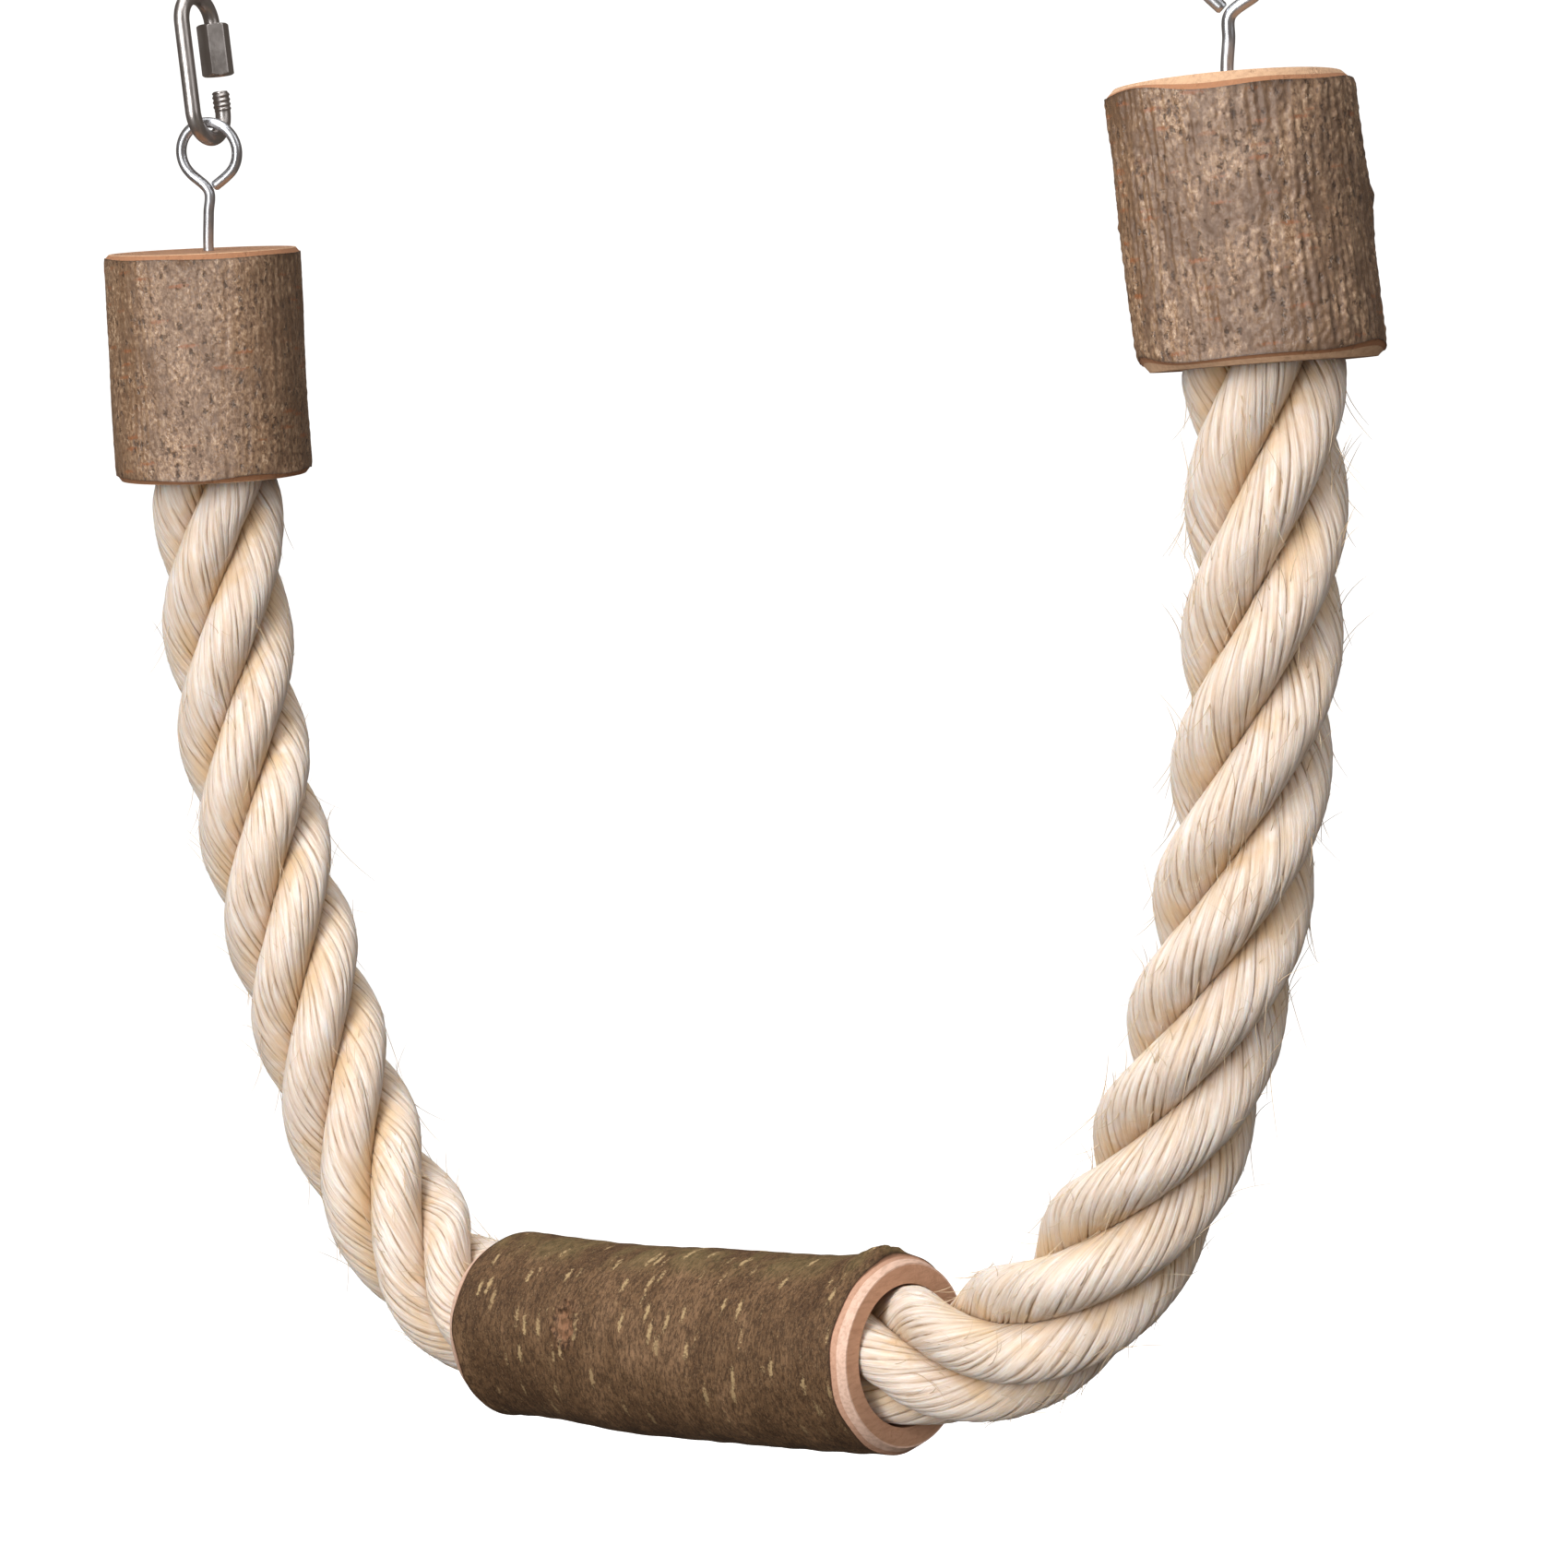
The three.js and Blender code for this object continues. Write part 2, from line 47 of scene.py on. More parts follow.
VIEW_AZIMUTH, VIEW_ELEVATION, VIEW_ROLL = np.radians([41.5516, 5.9862, -6.3057])
FOCAL_PIXELS = 4257.56
PHOTO_PIXELS = 1700
SENSOR_WIDTH = 36
FLOOR_HEIGHT = -0.95
FLOOR_FRONT = 4.0
FLOOR_HALF_WIDTH = 6.0
SWEEP_BACK = 2.4
SWEEP_BEND = 0.9
WALL_HEIGHT = 4.0
PAPER_GLOW = 0.8
DIM_ROOM = (0.128, 0.111, 0.097, 1)
SEEN_ROOM = (1, 1, 1, 1)


def colour(red, green, blue):
    """Linear colour of an sRGB triple from 0 to 255: ((c/255 + 0.055) / 1.055) ** 2.4, straight near black."""
    level = np.array([red, green, blue]) / 255
    linear = np.where(level > 0.04045, ((level + 0.055) / 1.055) ** 2.4, level / 12.92)
    return (*linear.tolist(), 1)


class Finish:
    """A Principled material, with short ways to add the nodes that feed it. An underscore in a socket's name stands
    for a space."""

    def __init__(self, name, **sockets):
        self.material = bpy.data.materials.new(name)
        self.material.use_nodes = True
        self.tree = self.material.node_tree
        self.shader = self.tree.nodes["Principled BSDF"]
        for socket, value in sockets.items():
            self.feed(socket.replace("_", " "), value)

    def put(self, socket, value):
        if isinstance(value, bpy.types.NodeSocket):
            self.tree.links.new(value, socket)
        else:
            socket.default_value = value

    def feed(self, socket, value):
        self.put(self.shader.inputs[socket], value)

    def node(self, kind, inputs, output=0, **settings):
        made = self.tree.nodes.new("ShaderNode" + kind)
        for setting, value in settings.items():
            setattr(made, setting, value)
        for socket, value in inputs.items():
            self.put(made.inputs[socket], value)
        return made.outputs[output]

    def place(self, scale=(1, 1, 1), turn=(0, 0, 0), uv=False):
        """Object or UV coordinates, turned and stretched."""
        spot = self.node("TexCoord", {}, "UV" if uv else "Object")
        return self.node("Mapping", {"Vector": spot, "Rotation": turn, "Scale": scale})

    def noise(self, vector, scale, detail=3.0, rough=0.55, warp=0.0):
        inputs = {"Vector": vector, "Scale": scale, "Detail": detail, "Roughness": rough, "Distortion": warp}
        return self.node("TexNoise", inputs)

    def ramp(self, value, *stops):
        """Stops of a place from 0 to 1 and an sRGB colour, straight between them."""
        made = self.node("ValToRGB", {"Fac": value})
        band = made.node.color_ramp.elements
        while len(band) < len(stops):
            band.new(1)
        for element, (place, *shade) in zip(band, stops):
            element.position = place
            element.color = colour(*shade)
        return made

    def step(self, value, low, high, to=(0, 1)):
        """Rises smoothly from to[0] to to[1] while the value goes from low to high."""
        inputs = {"Value": value, "From Min": low, "From Max": high, "To Min": to[0], "To Max": to[1]}
        return self.node("MapRange", inputs, interpolation_type="SMOOTHSTEP")

    def mix(self, amount, first, second):
        return self.node("Mix", {0: amount, 6: first, 7: second}, 2, data_type="RGBA")

    def stain(self, amount, *shade):
        """Lays an sRGB colour over the tint so far, as strongly as amount."""
        self.tint = self.mix(amount, self.tint, colour(*shade))

    def math(self, operation, first, second):
        return self.node("Math", {0: first, 1: second}, operation=operation)

    def times(self, first, second):
        return self.math("MULTIPLY", first, second)

    def mark(self, name):
        return self.node("Attribute", {}, "Fac", attribute_name=name)

    def flecks(self, plain, stretched, size, share, soft):
        """Scattered ragged spots: cells of a Voronoi pattern whose random value is under share, filled near their
        middle, with the stretched pattern pushed about by noise."""
        ragged = self.noise(plain, 900.0, 3, 0.7).node.outputs["Color"]
        pushed = self.node("VectorMath", {0: ragged, 1: (0.003,) * 3, 2: stretched}, operation="MULTIPLY_ADD")
        cell = self.node("TexVoronoi", {"Vector": pushed, "Scale": size, "Randomness": 1.0}, "Distance")
        chosen = self.node("SeparateColor", {0: cell.node.outputs["Color"]})
        filled = self.step(cell, 0.15, 0.15 + soft, (1, 0))
        return self.times(filled, self.step(chosen, share, share + 0.05, (1, 0)))

    def bump(self, height, distance, strength):
        inputs = {"Height": height, "Distance": distance, "Strength": strength}
        self.feed("Normal", self.node("Bump", inputs))


def added(name, data):
    """New object at the origin, unturned, in the scene."""
    made = bpy.data.objects.new(name, data)
    bpy.context.scene.collection.objects.link(made)
    return made


def skin(name, grid, material, wrap=(False, True), fans=(), uv=None, marks=None, crease=None):
    """Mesh object over a grid of points [row, column]: a quad between each four neighbours, closed round the
    directions in wrap, and a fan of triangles over each end row in fans. Columns run anticlockwise about the
    way the rows advance. marks are point attributes on the grid, and edges sharper than crease stay sharp."""
    rows, columns = grid.shape[:2]
    number = np.arange(rows * columns).reshape(rows, columns)
    if wrap[0]:
        number = np.vstack([number, number[:1]])
    if wrap[1]:
        number = np.hstack([number, number[:, :1]])

    def corners(field):
        return np.stack([field[:-1, :-1], field[:-1, 1:], field[1:, 1:], field[1:, :-1]], 2)

    points = grid.reshape(-1, 3)
    faces = corners(number).reshape(-1, 4).tolist()
    for end in fans:
        rim = number[end]
        middle = np.full(len(rim) - 1, len(points))
        points = np.vstack([points, grid[end].mean(0)])
        pair = (rim[1:], rim[:-1]) if end == 0 else (rim[:-1], rim[1:])
        faces += np.stack([*pair, middle], 1).tolist()
    mesh = bpy.data.meshes.new(name)
    mesh.from_pydata(points.tolist(), [], faces)
    for mark, values in (marks or {}).items():
        flat = np.concatenate([np.broadcast_to(values, (rows, columns)).ravel(), np.zeros(len(fans))])
        mesh.attributes.new(mark, "FLOAT", "POINT").data.foreach_set("value", flat.astype(np.float32))
    if uv is not None:
        flat = np.zeros((len(mesh.loops), 2))
        laid = corners(uv).reshape(-1, 2)
        flat[:len(laid)] = laid
        mesh.uv_layers.new(name="laid").data.foreach_set("uv", flat.astype(np.float32).ravel())
    mesh.shade_smooth()
    if crease is not None:
        mesh.set_sharp_from_angle(angle=np.radians(crease))
    mesh.materials.append(material)
    return added(name, mesh)


def unit(vectors):
    """Vectors of length 1 along the given ones."""
    return vectors / np.linalg.norm(vectors, axis=-1, keepdims=True)


def stood(axes, origin):
    """Matrix that stands an object at an origin, with its own axes along the columns of axes."""
    return Matrix([[*row, at] for row, at in zip(axes, origin)] + [[0, 0, 0, 1]])


view_right = np.array([np.cos(VIEW_AZIMUTH), np.sin(VIEW_AZIMUTH), 0])
level_back = np.cross(view_right, UP)
view_back = np.cos(VIEW_ELEVATION) * level_back + np.sin(VIEW_ELEVATION) * UP
view_up = np.cross(view_back, view_right)
tipped_right = np.cos(VIEW_ROLL) * view_right + np.sin(VIEW_ROLL) * view_up
tipped_up = np.cos(VIEW_ROLL) * view_up - np.sin(VIEW_ROLL) * view_right

lens = bpy.data.cameras.new("studio_camera")
lens.sensor_width = SENSOR_WIDTH
lens.lens = FOCAL_PIXELS * SENSOR_WIDTH / PHOTO_PIXELS
camera = added("studio_camera", lens)
camera_axes = np.stack([tipped_right, tipped_up, view_back], 1)
camera.matrix_world = stood(camera_axes, VIEW_TARGET + VIEW_DISTANCE * view_back)
bpy.context.scene.camera = camera
bpy.context.scene.view_settings.view_transform = "Standard"

paper = Finish("white_paper", Base_Color=colour(246, 246, 246), Roughness=0.9, Emission_Strength=PAPER_GLOW)
paper.feed("Emission Color", (1, 1, 1, 1))
bend = np.linspace(0, np.pi / 2, 24)
away = np.concatenate([[-FLOOR_FRONT], SWEEP_BACK + SWEEP_BEND * np.sin(bend), [SWEEP_BACK + SWEEP_BEND]])
rise = np.concatenate([[0.0], SWEEP_BEND * (1 - np.cos(bend)), [WALL_HEIGHT]]) + FLOOR_HEIGHT
aside = np.array([-FLOOR_HALF_WIDTH, FLOOR_HALF_WIDTH])
sweep = VIEW_TARGET * [1, 1, 0] + aside[:, None, None] * view_right - away[None, :, None] * [*view_back[:2], 0]
sweep[..., 2] = rise
studio_floor = skin("studio_floor", sweep, paper.material, wrap=(False, False))
studio_floor.visible_diffuse = False
studio_floor.visible_glossy = False

room = bpy.data.worlds.new("studio_room")
room.use_nodes = True
wiring = room.node_tree
walls = wiring.nodes.new("ShaderNodeMix")
walls.data_type = "RGBA"
walls.inputs[6].default_value = DIM_ROOM
walls.inputs[7].default_value = SEEN_ROOM
wiring.links.new(wiring.nodes.new("ShaderNodeLightPath").outputs["Is Camera Ray"], walls.inputs[0])
wiring.links.new(walls.outputs[2], wiring.nodes["Background"].inputs["Color"])
bpy.context.scene.world = room


def softbox(name, aside, height, distance, size, power, shines=True):
    """Oblong light facing the swing, at angles right of the camera and above the horizon, in degrees. A light that
    doesn't shine only fills in: it makes no highlights."""
    turn, lift = np.radians([aside, height])
    out = np.cos(lift) * (np.cos(turn) * level_back + np.sin(turn) * view_right) + np.sin(lift) * UP
    side = unit(np.cross(UP, out))
    glow = bpy.data.lights.new(name, "AREA")
    glow.shape = "RECTANGLE"
    glow.size, glow.size_y = size
    glow.energy = power
    held = added(name, glow)
    held.matrix_world = stood(np.stack([side, np.cross(out, side), out], 1), VIEW_TARGET + distance * out)
    held.visible_glossy = shines


softbox("key_light", -32, 24, 1.4, (0.5, 1.3), 23)
softbox("front_light", -4, 14, 2.2, (1.6, 1.2), 14, shines=False)
softbox("right_light", 58, 26, 2.0, (1.0, 1.4), 6)
softbox("top_light", -10, 78, 1.7, (1.4, 1.4), 18)
softbox("back_light", 180, 32, 2.2, (1.8, 1.4), 28, shines=False)

# Rope: four thick sisal strands laid right-handed, each of yarns that run almost along the rope on its outer
# face, round a thin heart. It hangs in a U, swells a little below each cap, and is screwed inside the two caps.
ROUTE = np.array([
    (-0.0135, -0.1013), (-0.016, -0.1264), (-0.0181, -0.151), (-0.0202, -0.176), (-0.0216, -0.201),
    (-0.0215, -0.226), (-0.0192, -0.251), (-0.0154, -0.276), (-0.0097, -0.301), (-0.0032, -0.3265),
    (0.0044, -0.352), (0.0148, -0.378), (0.0312, -0.4024), (0.0515, -0.4196), (0.072, -0.4272),
    (0.085, -0.4272), (0.121, -0.4266), (0.156, -0.4259), (0.191, -0.4253), (0.226, -0.4246),
    (0.239, -0.4242), (0.26, -0.4215), (0.282, -0.4142), (0.3033, -0.4002), (0.3236, -0.379),
    (0.3405, -0.3535), (0.3544, -0.3246), (0.3658, -0.2953), (0.375, -0.2654), (0.3824, -0.235),
    (0.3881, -0.2046), (0.3921, -0.1742), (0.3942, -0.1482), (0.3935, -0.1242), (0.3926, -0.0994),
])
ROUTE = np.insert(ROUTE, 1, 0, axis=1)
STRAIGHT_START, STRAIGHT_END = ROUTE[[14, 20]]
ACROSS_ROPE = np.array([0.0, 1, 0])
ROPE_DIAMETER = 0.040
STRAND_COUNT = 4
STRAND_DIAMETER = 0.0176
STRAND_PRESS = 0.0003
LAY_LENGTH = 0.141
LAY_PHASE = np.radians(62.7)
LAY_SLIP = 0.0048
SLIP_START = 0.065
SLIP_LENGTH = 0.280
BEND_SLIP = -0.009
LEFT_BEND = (0.310, 0.355)
RIGHT_BEND = (0.555, 0.635)
HEART_DIAMETER = 0.007
FLANK_END = 1.3
INNER_ARC = 0.0008
CAP_MOUTH, CAP_MOUTH_SOFTNESS = 0.047, 0.0015
ROLLER_MOUTH, ROLLER_MOUTH_SOFTNESS = 0.006, 0.0025
ROPE_SWELL = 0.070
BEND_SWELL, BEND_MIDDLE, BEND_SPREAD = 0.025, 0.315, 0.045
YARNS = 22
YARN_COLUMNS = 8
YARN_DEPTH = 0.00034
YARN_SLIP = 0.96
YARN_UNEVENNESS = 0.2
YARN_RISE = 0.00007
FURROW_WANDER = 0.18
FURROW_FADE = 0.75
LUMP_DEPTH = 0.00012
LUMP_WAVES = (0.057, 0.083, 0.131)
UV_LENGTH = 0.002
UV_SHIFT = 40
ROPE_STEPS = 368
SCREW_DROP = 0.024
ROLLER_LENGTH = 0.164


def run_along(points):
    """Distance of each point from the first, along the line through them."""
    return np.concatenate([[0], np.cumsum(np.linalg.norm(np.diff(points, axis=0), axis=1))])


def full_turn(count):
    """Angles evenly round a full turn."""
    return np.linspace(0, 2 * np.pi, count, endpoint=False)


def polar(radius, turn):
    """Pairs radius * (cos, sin) of the turn."""
    return np.stack([radius * np.cos(turn), radius * np.sin(turn)], -1)


def mound(distance):
    """Bell curve exp(-distance^2)."""
    return np.exp(-distance**2)


def smooth_route(points, count):
    """Centripetal Catmull-Rom curve through points: on each stretch a cubic whose end slopes come from the
    stretches beside it, weighted by the square roots of their lengths. Gives count points at even distances
    and those distances."""
    ends = np.vstack([2 * points[0] - points[1], points, 2 * points[-1] - points[-2]])
    p0, p1, p2, p3 = (ends[first:len(ends) - 3 + first, None] for first in range(4))
    d0, d1, d2 = (np.sqrt(np.linalg.norm(b - a, axis=2, keepdims=True)) for a, b in ((p0, p1), (p1, p2), (p2, p3)))
    slope1 = d1 * ((p1 - p0) / d0 - (p2 - p0) / (d0 + d1) + (p2 - p1) / d1)
    slope2 = d1 * ((p2 - p1) / d1 - (p3 - p1) / (d1 + d2) + (p3 - p2) / d2)
    t = np.linspace(0, 1, 100, endpoint=False)[None, :, None]
    bent = p1 + slope1 * t + (3 * (p2 - p1) - 2 * slope1 - slope2) * t**2 + (2 * (p1 - p2) + slope1 + slope2) * t**3
    fine = np.vstack([bent.reshape(-1, points.shape[1]), points[-1]])
    run = run_along(fine)
    even = np.linspace(0, run[-1], count)
    return np.stack([np.interp(even, run, axis) for axis in fine.T], 1), even


def carried(path, reference, section):
    """A section carried along a path. With b the reference made square to the path's tangent and a = b x tangent,
    each point is path + first * a + second * b for the section's pair (first, second)."""
    tangent = unit(np.gradient(path, axis=0))
    b = unit(reference - tangent * (tangent @ reference)[:, None])
    a = np.cross(b, tangent)
    return path[:, None] + section[..., :1] * a[:, None] + section[..., 1:] * b[:, None]


strand_radius = STRAND_DIAMETER / 2
strand_offset = ROPE_DIAMETER / 2 - strand_radius


def strand_outline():
    """Closed outline of one strand, as points, outward normals and depth below the crown, by distance round it.
    Crown: a circle of the strand's radius round its offset from the rope's middle, as far as the two flanks, which
    run in to the heart and press a little past the planes to the neighbours, and an arc that joins them there."""
    reach = (strand_offset + np.sqrt(2) * STRAND_PRESS) / (np.sqrt(2) * strand_radius)
    around = np.linspace(-1, 1, 500) * (np.arccos(-reach) - np.pi / 4)
    crown = polar(strand_radius, around) + [strand_offset, 0]
    inner = HEART_DIAMETER / 2
    inwards = np.linspace(0, crown[-1].sum() / np.sqrt(2) - FLANK_END * inner, 80)[1:, None]
    flank = crown[-1] - inwards * np.sqrt(0.5)
    across = np.linspace(1, -1, 40)[1:-1]
    close = np.stack([flank[-1, 0] + INNER_ARC * (1 - across**2), flank[-1, 1] * across], 1)
    outline = np.vstack([crown, flank, close, flank[::-1] * [1, -1], crown[:1]])
    run = run_along(outline)
    along = unit(np.gradient(outline, run, axis=0))
    normal = np.stack([along[:, 1], -along[:, 0]], 1)
    depth = 1 - (np.hypot(*outline.T) - inner) / (ROPE_DIAMETER / 2 - inner)
    return run, outline, normal, depth


def lay_turn(run):
    """Turn of the strands along the rope: 2 pi in each lay length, less the slip where they have been worked along
    it. On the left leg that is slip * sin(2 pi * share of the stretch). Between the two bends they are drawn to the
    left, with a smooth step, share^2 * (3 - 2 * share), in each bend."""
    def share(start, end):
        return ((run - start) / (end - start)).clip(0, 1)

    def smooth(stretch):
        return share(*stretch)**2 * (3 - 2 * share(*stretch))

    on_leg = np.sin(2 * np.pi * share(SLIP_START, SLIP_START + SLIP_LENGTH))
    slip = LAY_SLIP * on_leg + BEND_SLIP * (smooth(LEFT_BEND) - smooth(RIGHT_BEND))
    return LAY_PHASE + 2 * np.pi * (run - slip) / LAY_LENGTH


centre_line, rope_run = smooth_route(ROUTE, ROPE_STEPS)
rope_length = rope_run[-1]
roller_run = rope_run[np.abs(centre_line[:, 0] - (STRAIGHT_START[0] + STRAIGHT_END[0]) / 2).argmin()]
outline_run, outline, outline_normal, outline_depth = strand_outline()
outline_round = outline_run[-1]
yarn_slant = YARN_SLIP * np.pi * ROPE_DIAMETER / LAY_LENGTH


def bulge(run):
    """Thickness of the rope along its length, as a share: it opens out of the caps and most in the two bends, and
    is drawn in where it passes through the roller. 1 / (1 + exp(-distance / softness)) steps up past each mouth."""
    def past(mouth, softness, distance):
        return 1 / (1 + np.exp(-(distance - mouth) / softness))

    near_end = np.minimum(run, rope_length - run)
    out_of_cap = past(CAP_MOUTH, CAP_MOUTH_SOFTNESS, near_end)
    out_of_roller = past(ROLLER_MOUTH, ROLLER_MOUTH_SOFTNESS, np.abs(run - roller_run) - ROLLER_LENGTH / 2)
    return 1 + out_of_cap * out_of_roller * (ROPE_SWELL + BEND_SWELL * mound((near_end - BEND_MIDDLE) / BEND_SPREAD))


def strand_grid(index):
    """Surface of one strand on a grid whose columns follow its yarns: row = place along the rope, column = place
    across the yarns. A yarn slips round the outline as far as the lay carries it, so that it runs along the rope.
    Each yarn is a rounded ridge, sink = depth * (1 - sqrt(1 - (2u - 1)^2)) across its width u, and the furrows
    between yarns wander, and deepen or fade along the rope."""
    draw = np.random.default_rng(20 + index)

    def drift(least, most):
        """Smooth unit-spread wandering of each furrow along the rope: a sum of three seeded sines."""
        length = draw.uniform(least, most, (3, YARNS))
        phase = draw.uniform(0, 2 * np.pi, (3, YARNS))
        return np.sin(2 * np.pi * rope_run[:, None, None] / length + phase).sum(1) * np.sqrt(2 / 3)

    def on_columns(values):
        return np.repeat(values, YARN_COLUMNS, axis=-1)

    width = draw.normal(1, YARN_UNEVENNESS, YARNS).clip(0.6, 1.5)
    furrow = np.concatenate([[0], np.cumsum(width / width.sum() * YARNS)[:-1]]) + FURROW_WANDER * drift(0.04, 0.14)
    deep = YARN_DEPTH * np.exp(FURROW_FADE * drift(0.015, 0.06)).clip(0.1, 2.4)
    raised = on_columns(YARN_RISE * drift(0.03, 0.11))
    share = np.tile(np.arange(YARN_COLUMNS) / YARN_COLUMNS, YARNS)
    here, after = on_columns(furrow), on_columns(np.roll(furrow, -1, axis=1))
    after = after + YARNS * (on_columns(np.arange(YARNS)) == YARNS - 1)
    across = here + share * (after - here)
    near = np.where(share < 0.5, on_columns(deep), on_columns(np.roll(deep, -1, axis=1)))
    round_place = across * outline_round / YARNS - yarn_slant * rope_run[:, None]

    def at(values):
        return np.interp(np.mod(round_place, outline_round), outline_run, values)

    lump_phase = draw.uniform(0, 2 * np.pi, 3)
    lump = sum(np.sin(2 * np.pi * rope_run / wave + phase) for wave, phase in zip(LUMP_WAVES, lump_phase))
    raised = raised - near * (1 - np.sqrt(1 - (2 * share - 1)**2)) - LUMP_DEPTH * (1 - lump[:, None] / 3)
    first = at(outline[:, 0]) + raised * at(outline_normal[:, 0])
    second = at(outline[:, 1]) + raised * at(outline_normal[:, 1])
    turn = (lay_turn(rope_run) + 2 * np.pi * index / STRAND_COUNT)[:, None]
    section = polar(first, turn) + polar(second, turn + np.pi / 2)
    section *= bulge(rope_run)[:, None, None]
    grid = carried(centre_line, ACROSS_ROPE, section)
    yarn_count, run_count = np.meshgrid(np.arange(YARNS * YARN_COLUMNS + 1) / YARN_COLUMNS, rope_run / UV_LENGTH)
    uv = np.stack([yarn_count + UV_SHIFT * index, run_count], -1)
    # These marks carry the rope's painted shade: depth below the crown for the warm, darker tint towards the grooves
    # between strands, and the nearness and depth of a furrow between yarns for the shade painted in it.
    furrow_shade = np.abs(2 * share - 1)**4 * (near / YARN_DEPTH / 1.8).clip(0, 1)
    return grid, uv, {"depth": at(outline_depth), "furrow_shade": furrow_shade}


sisal = Finish(
    "sisal_yarn", Roughness=0.6, Specular_IOR_Level=0.1, Subsurface_Weight=0.5, Subsurface_Radius=(1.0, 0.75, 0.5),
    Subsurface_Scale=0.0032,
)
fibre = sisal.noise(sisal.place((4.0, 0.13, 1), uv=True), 1.0, 6, 0.7)
streak = sisal.noise(sisal.place((1.1, 0.06, 1), uv=True), 1.0, 3, 0.6)
patch = sisal.noise(sisal.place(), 60.0, 3, 0.6, 0.4)
sisal.tint = sisal.ramp(streak, (0.30, 236, 217, 200), (0.5, 247, 234, 223), (0.66, 251, 243, 236))
sisal.stain(sisal.step(fibre, 0.38, 0.60, (0.6, 0)), 218, 191, 164)
low = sisal.mark("depth")
# Golden tint: patches of the sisal's own golden colour, kept to the strands' flanks and growing towards the grooves,
# where it is also painted warm shade.
gold_and_warm_shade = sisal.times(sisal.step(patch, 0.38, 0.62), sisal.step(low, -0.04, 0.34))
sisal.stain(sisal.times(gold_and_warm_shade, 0.7), 226, 192, 146)
# Painted shade: a darker tan deep in the grooves between the strands.
sisal.stain(sisal.step(low, 0.24, 0.56, (0, 0.6)), 204, 164, 120)
# Painted shade: dark brown in the furrows between yarns, broken up by the fibres.
painted_furrow_shade = sisal.times(sisal.mark("furrow_shade"), sisal.step(fibre, 0.36, 0.62, (1, 0.35)))
sisal.stain(painted_furrow_shade, 156, 116, 74)
sisal.feed("Base Color", sisal.tint)
sisal.bump(fibre, 0.0011, 1.0)

for index in range(STRAND_COUNT):
    grid, uv, marks = strand_grid(index)
    strand = skin(f"laid_strand_{index + 1}", grid, sisal.material, fans=(0, -1), uv=uv, marks=marks)
    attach(strand, "swing")
    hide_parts(f"rope_strand_{index + 1}")

heart_grid = carried(centre_line, ACROSS_ROPE, polar(HEART_DIAMETER / 2, full_turn(12))[None])
heart = skin("heart_strand", heart_grid, sisal.material, fans=(0, -1))
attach(heart, "swing")
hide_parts("rope_heart")

# Loose fibres: broken sisal fibres that stand off the rope, more of them on its right leg. Close to the wood they
# lean away from it, and none grow inside the roller.
HAIRS = 1500
HAIR_STEPS = 6
HAIR_DIAMETER = 0.00024
HAIR_TAPER = np.array([1, 1, 0.95, 0.85, 0.7, 0.35])
HAIR_ROOT = 0.0004
HAIR_LENGTHS = (0.003, 0.022)
HAIRLESS = ROLLER_LENGTH + 0.012
CAP_COVER = 0.05
WOOD_CLEARANCE = 0.022


